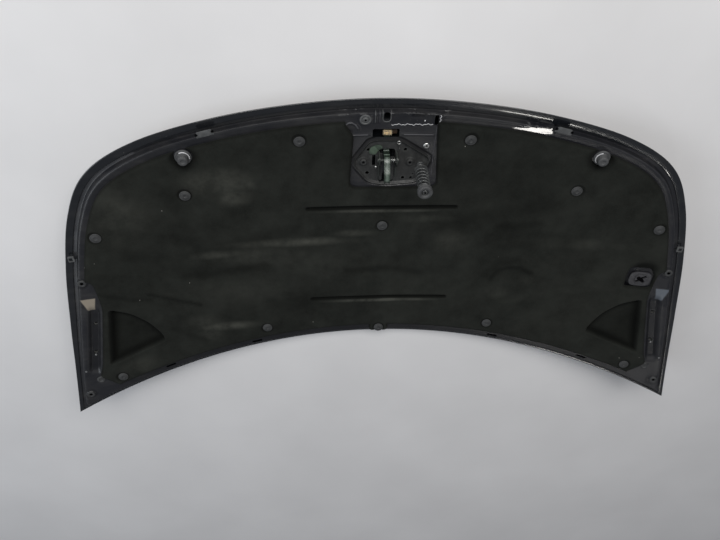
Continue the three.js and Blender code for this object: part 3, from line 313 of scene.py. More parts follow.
def round_loop(loop, radius, steps=8, longest=8.0):
    """A loop with its corners rounded and its long edges divided."""
    loop = np.asarray(loop, float)
    rounded = []
    for k, corner in enumerate(loop):
        before, after = loop[k - 1], loop[(k + 1) % len(loop)]
        to_before, to_after = before - corner, after - corner
        reach = min(radius, np.linalg.norm(to_before) * 0.45, np.linalg.norm(to_after) * 0.45)
        start = corner + to_before * reach / np.linalg.norm(to_before)
        end = corner + to_after * reach / np.linalg.norm(to_after)
        for t in np.linspace(0, 1, steps + 1):
            rounded.append((1 - t) ** 2 * start + 2 * t * (1 - t) * corner + t * t * end)
    divided = []
    for a, b in zip(rounded, rounded[1:] + rounded[:1]):
        parts = max(1, int(np.linalg.norm(b - a) / longest))
        divided += [a + (b - a) * n / parts for n in range(parts)]
    return np.array(divided)


def rectangle(x, y, width, height, turn=0.0):
    corners = np.array([(-0.5, -0.5), (0.5, -0.5), (0.5, 0.5), (-0.5, 0.5)]) * (width, height)
    c, s = math.cos(turn), math.sin(turn)
    return corners @ np.array([[c, s], [-s, c]]) + (x, y)


def circle(x, y, radius, sides=32):
    angle = 2 * np.pi * np.arange(sides) / sides
    return np.stack([x + radius * np.cos(angle), y + radius * np.sin(angle)], 1)


def mirrored(loop, side):
    return anticlockwise(np.asarray(loop, float) * (side, 1))


def plan_grid(spacing, box=(-HALF_WIDTH, HALF_WIDTH, -HALF_LENGTH, HALF_LENGTH)):
    x = np.arange(box[0], box[1], spacing)
    y = np.arange(box[2], box[3], spacing * 0.87)
    gx, gy = np.meshgrid(x, y)
    gx = gx + (np.arange(len(y)) % 2)[:, None] * spacing / 2
    return np.stack([gx.ravel(), gy.ravel()], 1)


def triangulate(loops, points, keep):
    """Triangles over a plan whose loops are kept as edges. keep says which triangle centres belong to it."""
    flat, edges = [], []
    for loop in loops:
        first = len(flat)
        flat += [tuple(p) for p in loop]
        edges += [(first + k, first + (k + 1) % len(loop)) for k in range(len(loop))]
    flat += [tuple(p) for p in points]
    result = delaunay_2d_cdt([Vector(p) for p in flat], edges, [], 0, 1e-4, False)
    plan = np.array([tuple(p) for p in result[0]])
    faces = np.array([f for f in result[2] if len(f) == 3])
    a, b, c = plan[faces[:, 0]], plan[faces[:, 1]], plan[faces[:, 2]]
    area = np.cross(b - a, c - a)
    faces = np.where((area > 0)[:, None], faces, faces[:, ::-1])
    faces = faces[(np.abs(area) > 1e-5) & keep((a + b + c) / 3)]
    used, index = np.unique(faces, return_inverse=True)
    return plan[used], index.reshape(-1, 3)


def rim_edges(faces):
    """Edges that only one triangle has, in that triangle's own direction."""
    edges = np.vstack([faces[:, [0, 1]], faces[:, [1, 2]], faces[:, [2, 0]]])
    ordered = np.sort(edges, axis=1)
    _, place, count = np.unique(ordered, axis=0, return_index=True, return_counts=True)
    return edges[place[count == 1]]


def within(edge, holes):
    """A test for points that lie inside an edge and outside its holes."""
    def keep(points):
        kept = inside(points, edge)
        for hole in holes:
            kept &= ~inside(points, hole)
        return kept

    return keep


def closed_sheet(plan, faces, top, bottom):
    """Solid between two heights over the same plan."""
    n = len(plan)
    upper = np.column_stack([plan, top])
    lower = np.column_stack([plan, bottom])
    rim = rim_edges(faces)
    walls = np.vstack([
        np.column_stack([rim[:, 1], rim[:, 0], rim[:, 0] + n]),
        np.column_stack([rim[:, 1], rim[:, 0] + n, rim[:, 1] + n]),
    ])
    return np.vstack([upper, lower]), np.vstack([faces, faces[:, ::-1] + n, walls])


# Pieces

def piece_from(name, points, faces, material, matrix=None, sharp=32.0):
    """A shaded piece from points in millimetres."""
    mesh = bpy.data.meshes.new(name)
    mesh.from_pydata([tuple(p) for p in points], [], [tuple(int(k) for k in f) for f in faces])
    if matrix is not None:
        mesh.transform(matrix)
    mesh.transform(Matrix.Scale(MM, 4))
    mesh.update()
    mesh.shade_smooth()
    mesh.set_sharp_from_angle(angle=math.radians(sharp))
    mesh.materials.append(material)
    obj = bpy.data.objects.new(name, mesh)
    bpy.context.scene.collection.objects.link(obj)
    return obj


def apply_modifiers(obj):
    graph = bpy.context.evaluated_depsgraph_get()
    mesh = bpy.data.meshes.new_from_object(obj.evaluated_get(graph), depsgraph=graph)
    mesh.name = obj.name
    obj.modifiers.clear()
    obj.data = mesh
    return obj


def soften(obj, width, segments=2, angle=35.0):
    """Small round on each sharp edge."""
    bevel = obj.modifiers.new("round", "BEVEL")
    bevel.width = width * MM
    bevel.segments = segments
    bevel.limit_method = "ANGLE"
    bevel.angle_limit = math.radians(angle)
    bevel.harden_normals = False
    apply_modifiers(obj)
    obj.data.shade_smooth()
    obj.data.set_sharp_from_angle(angle=math.radians(40))
    return obj


def join_pieces(name, parts):
    """One piece from several, with the materials of all."""
    with bpy.context.temp_override(active_object=parts[0], selected_editable_objects=parts, object=parts[0]):
        bpy.ops.object.join()
    parts[0].name = name
    parts[0].data.name = name
    return parts[0]


def lathe(profile, segments=48):
    """Points and faces of a solid turned about Z. Its profile runs from the axis or a bore back to it."""
    points, rings = [], []
    for radius, height in profile:
        if radius < 1e-6:
            rings.append([len(points)])
            points.append((0, 0, height))
        else:
            rings.append(list(range(len(points), len(points) + segments)))
            angles = [2 * math.pi * k / segments for k in range(segments)]
            points += [(radius * math.cos(a), radius * math.sin(a), height) for a in angles]
    faces = []
    pairs = list(zip(rings, rings[1:]))
    if len(rings[0]) > 1 and len(rings[-1]) > 1:
        pairs.append((rings[-1], rings[0]))
    for a, b in pairs:
        for k in range(segments):
            n = (k + 1) % segments
            if len(a) == 1 and len(b) == 1:
                break
            if len(a) == 1:
                faces.append((a[0], b[n], b[k]))
            elif len(b) == 1:
                faces.append((a[k], a[n], b[0]))
            else:
                faces.append((a[k], a[n], b[n], b[k]))
    return points, faces


def turned_piece(name, profile, material, matrix, segments=48, edge=0.25):
    points, faces = lathe(profile, segments)
    obj = piece_from(name, points, faces, material, matrix)
    recalculate(obj)
    return soften(obj, edge) if edge else obj


def recalculate(obj):
    shape = bmesh.new()
    shape.from_mesh(obj.data)
    bmesh.ops.remove_doubles(shape, verts=shape.verts, dist=1e-7)
    bmesh.ops.recalc_face_normals(shape, faces=shape.faces)
    shape.to_mesh(obj.data)
    shape.free()
    return obj


def prism_piece(name, loop, low, high, material, matrix, edge=0.3, holes=()):
    """Straight-sided piece from a loop in its own plane."""
    loops = [np.asarray(loop), *[np.asarray(h) for h in holes]]
    plan, faces = triangulate(loops, np.empty((0, 2)), within(loops[0], loops[1:]))
    points, solid = closed_sheet(plan, faces, np.full(len(plan), high), np.full(len(plan), low))
    obj = piece_from(name, points, solid, material, matrix)
    recalculate(obj)
    return soften(obj, edge) if edge else obj


def side_piece(name, loop, middle_x, width, material, matrix, edge=0.3, holes=()):
    """Piece cut from a loop in the Y and Z plane and spread along X."""
    turn = Matrix(((0, 0, 1, middle_x - width / 2), (1, 0, 0, 0), (0, 1, 0, 0), (0, 0, 0, 1)))
    return prism_piece(name, loop, 0, width, material, matrix @ turn, edge, holes)


def standing_matrix(x, y, along=0.0):
    """Frame on the panel's plateau at a place, +Z along the skin's normal."""
    normal = skin_normal(x, y)
    turn = Vector((0, 0, 1)).rotation_difference(normal).to_matrix().to_4x4()
    return Matrix.Translation(Vector((x, y, float(skin_height(x, y)) + PLATEAU)) + normal * along) @ turn


LATCH_SLOPE = math.atan(float(skin_height(LATCH[0], LATCH[1] + 1) - skin_height(LATCH[0], LATCH[1] - 1)) / 2)
LATCH_HEIGHT = float(skin_height(*LATCH)) + LATCH_FLOOR
LATCH_MATRIX = Matrix.Translation((LATCH[0], LATCH[1], LATCH_HEIGHT)) @ Matrix.Rotation(LATCH_SLOPE, 4, "X")
STRIKER_MATRIX = LATCH_MATRIX @ Matrix.Translation((*STRIKER, PLATE_HEIGHT + CLEAR))
STRIKER_MATRIX = STRIKER_MATRIX @ Matrix.Rotation(math.radians(STRIKER_TILT), 4, "X")


def latch_plan(loop):
    return np.asarray(loop, float) * (1, math.cos(LATCH_SLOPE)) + LATCH


# Node helpers

def node(tree, kind, inputs=None, **settings):
    made = tree.nodes.new(kind)
    for key, value in settings.items():
        setattr(made, key, value)
    for key, value in (inputs or {}).items():
        if isinstance(value, bpy.types.NodeSocket):
            tree.links.new(value, made.inputs[key])
        else:
            made.inputs[key].default_value = value
    return made


def new_material(name, roughness=0.5, metallic=0.0, **shader_values):
    """A material with its shader, and the piece's own coordinates for its patterns."""
    material = bpy.data.materials.new(name)
    material.use_nodes = True
    tree = material.node_tree
    tree.nodes.clear()
    out = tree.nodes.new("ShaderNodeOutputMaterial")
    shader = tree.nodes.new("ShaderNodeBsdfPrincipled")
    tree.links.new(shader.outputs[0], out.inputs[0])
    shader.inputs["Roughness"].default_value = roughness
    shader.inputs["Metallic"].default_value = metallic
    for key, value in shader_values.items():
        shader.inputs[key.replace("_", " ")].default_value = value
    place = tree.nodes.new("ShaderNodeTexCoord").outputs["Object"]
    return material, tree, shader, place


def ramp(tree, value, low, high, to_low=0.0, to_high=1.0):
    return node(tree, "ShaderNodeMapRange", {
        "Value": value, "From Min": low, "From Max": high, "To Min": to_low, "To Max": to_high,
    }).outputs[0]


def maths(tree, operation, a, b=0.0, clamp=False):
    return node(tree, "ShaderNodeMath", {0: a, 1: b}, operation=operation, use_clamp=clamp).outputs[0]


def noise(tree, place, scale, detail=4.0, rough=0.5, stretch=None):
    if stretch is not None:
        place = node(tree, "ShaderNodeMapping", {"Vector": place, "Scale": stretch}).outputs[0]
    inputs = {"Vector": place, "Scale": scale, "Detail": detail, "Roughness": rough}
    return node(tree, "ShaderNodeTexNoise", inputs).outputs[0]


def mix_colour(tree, share, a, b):
    made = node(tree, "ShaderNodeMix", data_type="RGBA")
    for key, value in ((0, share), (6, a), (7, b)):
        if isinstance(value, bpy.types.NodeSocket):
            tree.links.new(value, made.inputs[key])
        else:
            made.inputs[key].default_value = value if key == 0 else (*value[:3], 1)
    return made.outputs[2]


def bump(tree, height, strength, distance, normal=None):
    inputs = {"Height": height, "Strength": strength, "Distance": distance}
    if normal is not None:
        inputs["Normal"] = normal
    return node(tree, "ShaderNodeBump", inputs).outputs[0]


def shaded(colour, factor, added=0.0):
    """A colour made lighter or darker."""
    return tuple(min(1, c * factor + added) for c in colour)


def spot(tree, place, centre, reach, soft=0.5):
    """Share that is 1 at a place on the piece and falls to 0 at an elliptical reach."""
    scale = tuple(1 / (r * MM) for r in reach) + (0.0,)
    middle = (centre[0] * MM, centre[1] * MM, 0)
    moved = node(tree, "ShaderNodeVectorMath", {0: place, 1: middle}, operation="SUBTRACT").outputs[0]
    scaled = node(tree, "ShaderNodeVectorMath", {0: moved, 1: scale}, operation="MULTIPLY").outputs[0]
    length = node(tree, "ShaderNodeVectorMath", {0: scaled}, operation="LENGTH").outputs["Value"]
    limits = {"Value": length, "From Min": 1.0, "From Max": 1.0 - soft}
    return node(tree, "ShaderNodeMapRange", limits, interpolation_type="SMOOTHSTEP").outputs[0]


def trapezoid(tree, place, centre, half_top, half_low, half_length):
    """Share that is 1 inside a four-sided patch, wide at its front end and narrow at its rear end."""
    axes = node(tree, "ShaderNodeSeparateXYZ", {0: place})
    across = maths(tree, "ABSOLUTE", maths(tree, "SUBTRACT", axes.outputs[0], centre[0] * MM))
    along = maths(tree, "SUBTRACT", axes.outputs[1], centre[1] * MM)
    width = ramp(tree, along, -half_length * MM, half_length * MM, half_low * MM, half_top * MM)
    soft = 2.2 * MM
    inside_width = ramp(tree, maths(tree, "SUBTRACT", width, across), 0, soft)
    away = maths(tree, "SUBTRACT", half_length * MM, maths(tree, "ABSOLUTE", along))
    inside_length = ramp(tree, away, 0, soft)
    return maths(tree, "MULTIPLY", inside_width, inside_length)


# Finishes

def gloss_paint(name, colour, roughness, dusty, coat=0.55, coat_roughness=0.05):
    """Black gloss lacquer: fine orange peel, a haze of dust and small pale chips."""
    material, tree, shader, place = new_material(
        name, roughness, Coat_Weight=coat, Coat_Roughness=coat_roughness,
    )
    haze = ramp(tree, noise(tree, place, 9, 7, 0.62), 0.44, 0.72)
    streak = ramp(tree, noise(tree, place, 30, 5, 0.6, (0.4, 1.6, 1)), 0.5, 0.75)
    dust = maths(tree, "MULTIPLY", maths(tree, "ADD", haze, streak), dusty, clamp=True)
    chips = node(tree, "ShaderNodeTexVoronoi", {"Vector": place, "Scale": 210.0}).outputs["Distance"]
    rare = ramp(tree, noise(tree, place, 26, 3), 0.66, 0.7)
    chip = maths(tree, "MULTIPLY", ramp(tree, chips, 0.13, 0.09), rare)
    base = mix_colour(tree, dust, colour, (0.12, 0.115, 0.105))
    base = mix_colour(tree, maths(tree, "MULTIPLY", chip, 0.55 * min(1, dusty * 4)), base, (0.5, 0.47, 0.42))
    tree.links.new(base, shader.inputs["Base Color"])
    dull = ramp(tree, dust, 0, 0.5, roughness, 0.55)
    tree.links.new(dull, shader.inputs["Roughness"])
    peel = noise(tree, place, 420, 2)
    tree.links.new(bump(tree, peel, 0.03, 0.0002), shader.inputs["Normal"])
    return material, tree, shader, place, base, dull


def felt_finish(name, colour, dust_and_highlight_colour):
    """Pressed felt: matted fibres, pale lint, dusty patches where it has been rubbed, and painted highlights
    on its creases and on the grooves' lower lips.
    """
    material, tree, shader, place = new_material(name, 0.95, Sheen_Weight=0.02, Sheen_Roughness=0.5)
    shader.inputs["Specular IOR Level"].default_value = 0.04
    mottle = noise(tree, place, 17, 9, 0.66)
    fibres = noise(tree, place, 700, 5, 0.7)
    wisps = noise(tree, place, 240, 6, 0.75, (1, 0.25, 1))
    base = mix_colour(tree, ramp(tree, mottle, 0.33, 0.67), shaded(colour, 0.55), shaded(colour, 1.4))
    base = mix_colour(tree, ramp(tree, fibres, 0.35, 0.7, 0, 0.5), base, shaded(colour, 1.9))
    dusty = None
    # these patches are dust, with painted highlights on creases and on the grooves' lower lips
    for centre, reach, amount in DUST_AND_HIGHLIGHTS:
        share = maths(tree, "MULTIPLY", spot(tree, place, centre, reach, 0.95), amount)
        dusty = share if dusty is None else maths(tree, "MAXIMUM", dusty, share)
    broken = ramp(tree, noise(tree, place, 14, 8, 0.68), 0.4, 0.68)
    dusty = maths(tree, "MULTIPLY", dusty, maths(tree, "ADD", broken, 0.25), clamp=True)
    haze = maths(tree, "MULTIPLY", ramp(tree, noise(tree, place, 5, 7, 0.6, (0.6, 1.2, 1)), 0.5, 0.78), 0.12)
    dusty = maths(tree, "MAXIMUM", dusty, haze)
    base = mix_colour(tree, dusty, base, dust_and_highlight_colour)
    # painted shade: the pad's dips, rim, recess walls and fold valleys are darkened in its colour
    hollow = node(tree, "ShaderNodeAttribute", attribute_name="hollow").outputs["Fac"]
    base = mix_colour(tree, maths(tree, "MULTIPLY", hollow, 0.92), base, shaded(colour, 0.25))
    lint = node(tree, "ShaderNodeTexVoronoi", {"Vector": place, "Scale": 46.0, "Randomness": 1.0})
    rare = ramp(
        tree, node(tree, "ShaderNodeSeparateColor", {0: lint.outputs["Color"]}).outputs[0], 0.93, 0.94,
    )
    fleck = maths(tree, "MULTIPLY", ramp(tree, lint.outputs["Distance"], 0.045, 0.03), rare)
    base = mix_colour(tree, maths(tree, "MULTIPLY", fleck, 0.55), base, (0.5, 0.48, 0.44))
    tree.links.new(base, shader.inputs["Base Color"])
    rough = bump(tree, fibres, 0.5, 0.0006)
    rough = bump(tree, wisps, 0.35, 0.0008, rough)
    tree.links.new(bump(tree, mottle, 0.4, 0.0018, rough), shader.inputs["Normal"])
    return material


def moulded_plastic(name, colour, roughness=0.55, dusty=0.02, shine=0.5):
    """Grained moulded plastic with dust in its grain."""
    material, tree, shader, place = new_material(name, roughness)
    shader.inputs["Specular IOR Level"].default_value = shine
    grain = noise(tree, place, 900, 3, 0.6)
    dust = ramp(tree, noise(tree, place, 120, 6, 0.6), 0.42, 0.72, 0, 0.5)
    base = mix_colour(tree, dust, colour, shaded(colour, 1.8, dusty))
    tree.links.new(base, shader.inputs["Base Color"])
    tree.links.new(ramp(tree, dust, 0, 0.5, roughness, 0.85), shader.inputs["Roughness"])
    tree.links.new(bump(tree, grain, 0.3, 0.0003), shader.inputs["Normal"])
    return material


def coated_metal(name, colour, wear_colour, roughness=0.38, metallic=0.25, wear=0.5):
    """Steel under a thin dark coat, rubbed at its edges and streaked with grease."""
    material, tree, shader, place = new_material(name, roughness, metallic)
    streaks = noise(tree, place, 90, 6, 0.6, (1, 0.5, 1))
    rubbed = ramp(tree, noise(tree, place, 210, 5, 0.7), 0.55, 0.75, 0, wear)
    edge = node(tree, "ShaderNodeNewGeometry").outputs["Pointiness"]
    worn = maths(tree, "MAXIMUM", rubbed, ramp(tree, edge, 0.53, 0.62, 0, wear))
    base = mix_colour(tree, ramp(tree, streaks, 0.35, 0.7), shaded(colour, 0.75), shaded(colour, 1.3))
    tree.links.new(mix_colour(tree, worn, base, wear_colour), shader.inputs["Base Color"])
    tree.links.new(
        ramp(tree, streaks, 0.3, 0.75, roughness * 0.75, roughness * 1.5), shader.inputs["Roughness"],
    )
    tree.links.new(bump(tree, streaks, 0.12, 0.0003), shader.inputs["Normal"])
    return material


def plated_metal(name, colour, roughness=0.3):
    """Plated steel with a fine turned grain and dull spots."""
    material, tree, shader, place = new_material(name, roughness, 1.0)
    spots = noise(tree, place, 160, 6, 0.65)
    grain = noise(tree, place, 500, 3, 0.5, (1, 1, 0.2))
    base = mix_colour(tree, ramp(tree, spots, 0.4, 0.7), colour, shaded(colour, 0.55))
    tree.links.new(base, shader.inputs["Base Color"])
    tree.links.new(ramp(tree, spots, 0.3, 0.75, roughness * 0.8, roughness * 1.8), shader.inputs["Roughness"])
    tree.links.new(bump(tree, grain, 0.15, 0.0002), shader.inputs["Normal"])
    return material


def rubber_finish(name, colour):
    """Moulded rubber with a dry bloom."""
    material, tree, shader, place = new_material(name, 0.62)
    bloom = ramp(tree, noise(tree, place, 70, 7, 0.65), 0.38, 0.72, 0, 0.7)
    tree.links.new(mix_colour(tree, bloom, colour, shaded(colour, 2.1)), shader.inputs["Base Color"])
    tree.links.new(ramp(tree, bloom, 0, 0.7, 0.5, 0.8), shader.inputs["Roughness"])
    tree.links.new(bump(tree, noise(tree, place, 600, 3), 0.25, 0.0003), shader.inputs["Normal"])
    return material


# Pale patches of the pad: dust, and painted highlights along the creases at (-190, 62), (-340, 42) and (-352,
# -156) and on the lower lips of the two grooves at y 134.5 and -104: centre, reach and strength
DUST_AND_HIGHLIGHTS = [
    ((-320, 212), (95, 45), 0.85), ((-300, 180), (60, 30), 0.7), ((-262, 205), (22, 18), 0.5),
    ((-520, 150), (90, 110), 0.4),
    ((-190, 62), (190, 16), 0.85), ((-340, 42), (90, 15), 0.6), ((-60, 80), (60, 12), 0.5),
    ((-250, 30), (150, 50), 0.3),
    ((-352, -156), (95, 17), 0.95), ((-395, -178), (40, 26), 0.6), ((-400, -140), (60, 40), 0.35),
    ((150, 60), (60, 45), 0.42),
    ((95, 115), (90, 16), 0.3), ((400, 60), (180, 22), 0.3), ((-560, -240), (70, 40), 0.3),
    ((268, -78), (42, 28), 0.4), ((330, -40), (30, 26), 0.25), ((-80, 0), (200, 60), 0.22),
    ((0, 134.5), (172, 6), 1.0), ((0, -104), (172, 7), 1.3), ((-300, -60), (220, 90), 0.2),
]

FINISHES = {}


def panel_finish(colour):
    """Lacquer of the panel: pale hinge patches, dusty catch, painted shade in its troughs and low places, and
    two clean glossy places.
    """
    panel, tree, shader, place, base, dull = gloss_paint("panel_paint", colour, 0.36, 0.12, 0.1, 0.3)
    for centre, pale in (((-626, -60), (0.26, 0.225, 0.18)), ((629, -62), (0.10, 0.115, 0.135))):
        patch = trapezoid(tree, place, centre, 16, 7, 17)
        base = mix_colour(tree, maths(tree, "MULTIPLY", patch, 0.85), base, pale)
    catch = maths(tree, "MULTIPLY", spot(tree, place, (8, 262), (110, 62), 0.35), 0.22)
    base = mix_colour(tree, catch, base, (0.08, 0.08, 0.078))
    # painted shade: troughs, rear edge and the gaps round the bosses, prop socket and catch plate are
    # darkened in the colour
    hollow = node(tree, "ShaderNodeAttribute", attribute_name="hollow").outputs["Fac"]
    base = mix_colour(tree, maths(tree, "MULTIPLY", hollow, 0.85), base, (0.0015, 0.0015, 0.0024))
    tree.links.new(base, shader.inputs["Base Color"])
    facet = spot(tree, place, FACET, (48, 13), 0.2)
    strip = spot(tree, place, (48, 337), (50, 15), 0.2)
    clean = maths(tree, "MAXIMUM", facet, strip)
    wiped = maths(tree, "MULTIPLY", maths(tree, "SUBTRACT", dull, 0.07), clean)
    tree.links.new(maths(tree, "SUBTRACT", dull, wiped), shader.inputs["Roughness"])
    return panel


def make_finishes(colours):
    paint = gloss_paint("bonnet_paint", (0.006, 0.007, 0.009), 0.2, 0.06)[0]
    FINISHES.update(
        paint=paint,
        panel=panel_finish(tuple(colours.panel)),
        felt=felt_finish("pad_felt", tuple(colours.pad), tuple(colours.pad_dust_and_highlight)),
        clip=moulded_plastic("clip_plastic", tuple(colours.clip)),
        rubber=rubber_finish("rubber", tuple(colours.rubber)),
        coated=coated_metal("catch_coat", (0.021, 0.0215, 0.021), (0.07, 0.074, 0.07), 0.5, 0.05),
        ear=coated_metal("ear_coat", (0.026, 0.03, 0.027), (0.055, 0.065, 0.056), 0.45, 0.1),
        hook=coated_metal("greased_steel", (0.02, 0.03, 0.023), (0.1, 0.14, 0.105), 0.3, 0.3, 0.6),
        # the hook web's pale wear is partly grease and partly painted highlight
        grease=coated_metal("pale_grease", (0.045, 0.063, 0.05), (0.4, 0.47, 0.41), 0.25, 0.0, 0.5),
        smear=coated_metal("thin_grease", (0.035, 0.05, 0.037), (0.1, 0.14, 0.1), 0.35, 0.0, 0.5),
        # brown for the painted reflection under the release tab's window
        bronze=coated_metal("bronze_strip", (0.035, 0.02, 0.011), (0.12, 0.07, 0.035), 0.45, 0.2, 0.3),
        spring=coated_metal("spring_coat", (0.05, 0.052, 0.052), (0.24, 0.25, 0.24), 0.32, 0.3, 0.5),
        pale=moulded_plastic("pale_grey_plastic", (0.06, 0.062, 0.063), 0.45),
        # near black for painted shade in holes, sockets and gaps
        dark=moulded_plastic("dark_gap", (0.002, 0.002, 0.0025), 0.9, 0, 0.02),
        zinc=plated_metal("zinc_plate", (0.62, 0.62, 0.6)),
        yellow=plated_metal("yellow_zinc", (0.9, 0.74, 0.5), 0.3),
        socket=moulded_plastic("socket_plastic", (0.03, 0.03, 0.033), 0.5),
        sealer=moulded_plastic("seam_sealer", (0.045, 0.045, 0.05), 0.4),
        # pale bead finish: painted highlights and glints on panel edges and on the bumpers' collars
        bead=moulded_plastic("clear_sealant", (0.4, 0.4, 0.41), 0.2),
    )


# Skin, panel and pad

def outer_skin(rows=84, columns=200):
    """Skin with its rounded hem folded over the panel's flange."""
    hem_low = SKIN + HEM_GAP + PANEL + HEM_GAP
    hem_top = hem_low + SKIN
    stations = [(FOOT_BAND, SKIN), (even_band(SKIN), SKIN), (even_band(SKIN), hem_low), (HEM_BAND, hem_low)]
    for share in np.linspace(0, 1, 4):
        angle = share * math.pi / 2
        inset = tuple(w - 0.5 + 0.5 * math.cos(angle) for w in HEM_BAND)
        stations.append((inset, hem_top - 0.5 + 0.5 * math.sin(angle)))
    stations.append((between_bands(HEM_BAND, even_band(2), 0.5), hem_top))
    fold = hem_top / 2
    for share in np.linspace(0, 1, 10):
        angle = math.pi / 2 - share * math.pi
        stations.append((even_band(fold * 0.9 * (1 - math.cos(angle))), fold + fold * math.sin(angle)))
    stations += [(even_band(8), 0), (FOOT_BAND, 0)]
    loops = [band_loop(band, rows, columns) for band, _ in stations]
    count = len(loops[0])
    points = [
        np.column_stack([loop, skin_height(loop[:, 0], loop[:, 1]) + lift])
        for loop, (_, lift) in zip(loops, stations)
    ]
    faces = []
    for n in range(len(loops) - 1):
        a = np.arange(count) + n * count
        b = np.roll(a, -1)
        faces.append(np.stack([a, a + count, b + count, b], 1))
    points = np.vstack(points)
    faces = np.vstack(faces)
    for loop, lift, up in ((loops[0], SKIN, True), (loops[-1], 0.0, False)):
        grid = fill_grid(loop, rows, columns)
        index = np.arange(grid.shape[0] * grid.shape[1]).reshape(grid.shape[:2]) + len(points)
        flat = grid.reshape(-1, 2)
        points = np.vstack([points, np.column_stack([flat, skin_height(flat[:, 0], flat[:, 1]) + lift])])
        a, b, c, d = index[:-1, :-1], index[:-1, 1:], index[1:, 1:], index[1:, :-1]
        quads = np.stack([a, b, c, d] if up else [a, d, c, b], -1).reshape(-1, 4)
        faces = np.vstack([faces, quads])
    obj = piece_from("outer_skin_panel", points, faces, FINISHES["paint"])
    return recalculate(obj)


def hidden_lift(points):
    """Ribs and low fields of the inner panel, which the pad hides."""
    column_share = np.arange(COLUMNS + 1) / COLUMNS
    column_share = blend_values(column_share, (1 - np.cos(np.pi * column_share)) / 2, 0.3)
    row_share = np.arange(ROWS + 1) / ROWS
    row_share = row_share + 0.3 * row_share * (1 - row_share)
    front = np.interp(np.abs(points[:, 0]), *edge_profile())
    rear = rear_edge(points[:, 0], 32)
    half = np.interp(points[:, 1], *side_profile())
    s = np.clip((points[:, 0] + half) / (2 * half), 0, 1)
    t = np.clip((points[:, 1] - rear) / np.maximum(front - rear, 1), 0, 1)
    column = np.interp(s, column_share, np.arange(COLUMNS + 1))
    row = np.interp(t, row_share, np.arange(ROWS + 1))
    low_column = np.array([1 < i < COLUMNS - 1 and i not in RIB_COLUMNS for i in range(COLUMNS + 1)], float)
    low_row = np.array([1 < j < ROWS - 1 for j in range(ROWS + 1)], float)
    share = np.interp(column, np.arange(COLUMNS + 1), low_column)
    share = share * np.interp(row, np.arange(ROWS + 1), low_row)
    for x, y in [*CLIPS, *REAR_CLIPS]:
        share *= smoothstep(np.hypot(points[:, 0] - x, points[:, 1] - y), 30, 75)
    catch = fade(np.abs(points[:, 0] - LATCH[0]), 110, 150) * smoothstep(points[:, 1], 110, 150)
    share *= 1 - catch
    return PLATEAU - (PLATEAU - FIELD) * smoothstep(share, 0.1, 0.8)


def edge_profile():
    kept = (EDGE_POINTS[:, 0] >= 0) & (EDGE_POINTS[:, 1] > -100)
    order = np.argsort(EDGE_POINTS[kept, 0])
    return EDGE_POINTS[kept, 0][order], EDGE_POINTS[kept, 1][order] - 39


def side_profile():
    kept = EDGE_POINTS[:, 0] >= 0
    order = np.argsort(EDGE_POINTS[kept, 1])
    return EDGE_POINTS[kept, 1][order], EDGE_POINTS[kept, 0][order] - 40


REAR_CLIPS = [(x, float(rear_edge(x, inset))) for x, inset in ((-260.0, 60), (260.0, 60), (2.0, 25))]
REAR_SLOTS = [(x, float(rear_edge(x, inset)), math.atan(-2 * REAR_ARCH * x / HALF_WIDTH ** 2))
              for x, inset in ((-288, 22), (-494, 25), (280, 22), (502, 25))]
TAB = rectangle(2, float(rear_edge(2, 30)), 44, 32)


def pad_loops():
    """Edge of the pad, its cut-outs and its rear tab."""
    edge = band_loop(PAD_BAND, 60, 150)
    cuts = [round_loop(mirrored(HINGE_CUTOUT, side), 9) for side in (-1, 1)]
    cuts.append(round_loop(anticlockwise(np.array(LATCH_CUTOUT) + LATCH), 9))
    cuts.append(round_loop(anticlockwise(np.array(PROP_CUTOUT) + PROP), 9))
    return edge, cuts, round_loop(TAB, 9)


def in_pad(points):
    edge, cuts, tab = pad_loops()
    return within(edge, cuts)(points) | inside(points, tab)


def channel_axes(side):
    top, end = np.array(CHANNEL_TOP) * (side, 1), np.array(CHANNEL_END) * (side, 1)
    along = (end - top) / np.linalg.norm(end - top)
    return top, along, np.array([-along[1], along[0]]), np.linalg.norm(end - top)


def panel_holes():
    holes = [round_loop(rectangle(side * x, -40, 110, 120), 34) for side in (-1, 1) for x in (72, 266)]
    for side in (-1, 1):
        top, along, across, length = channel_axes(side)
        middle = top + along * length / 2
        holes += [circle(*(middle + along * reach), 4.5) for reach in (-44, 38)]
        holes += [circle(side * x, y, 3, 20) for x, y, _ in BOSSES]
        holes.append(round_loop(rectangle(side * NOTCHES[0], NOTCHES[1], 9, 6), 1.5))
    holes += [round_loop(rectangle(x, y, 24, 5, turn), 2) for x, y, turn in REAR_SLOTS]
    holes.append(round_loop(rectangle(92, HALF_LENGTH - 39, 7, 20), 3))
    holes.append(round_loop(rectangle(1, HALF_LENGTH - 32, 11, 16), 3))
    for opening, radius in ((SLOT, 6), (WINDOW, 3), (LEVER_SLOT, 1.2)):
        holes.append(latch_plan(round_loop(rectangle(*opening), radius)))
    holes += [latch_plan(circle(x, y, r, 16)) for x, y, r in PLATE_HOLES]
    holes.append(circle(*PROP, 11))
    return holes


def ragged_edge(x, long_wave, short_wave):
    """Wavy rear edge of the glossy strip in front of the catch."""
    return 326.5 + long_wave * np.sin(x * 0.35) + short_wave * np.sin(x * 0.81 + 1.3)


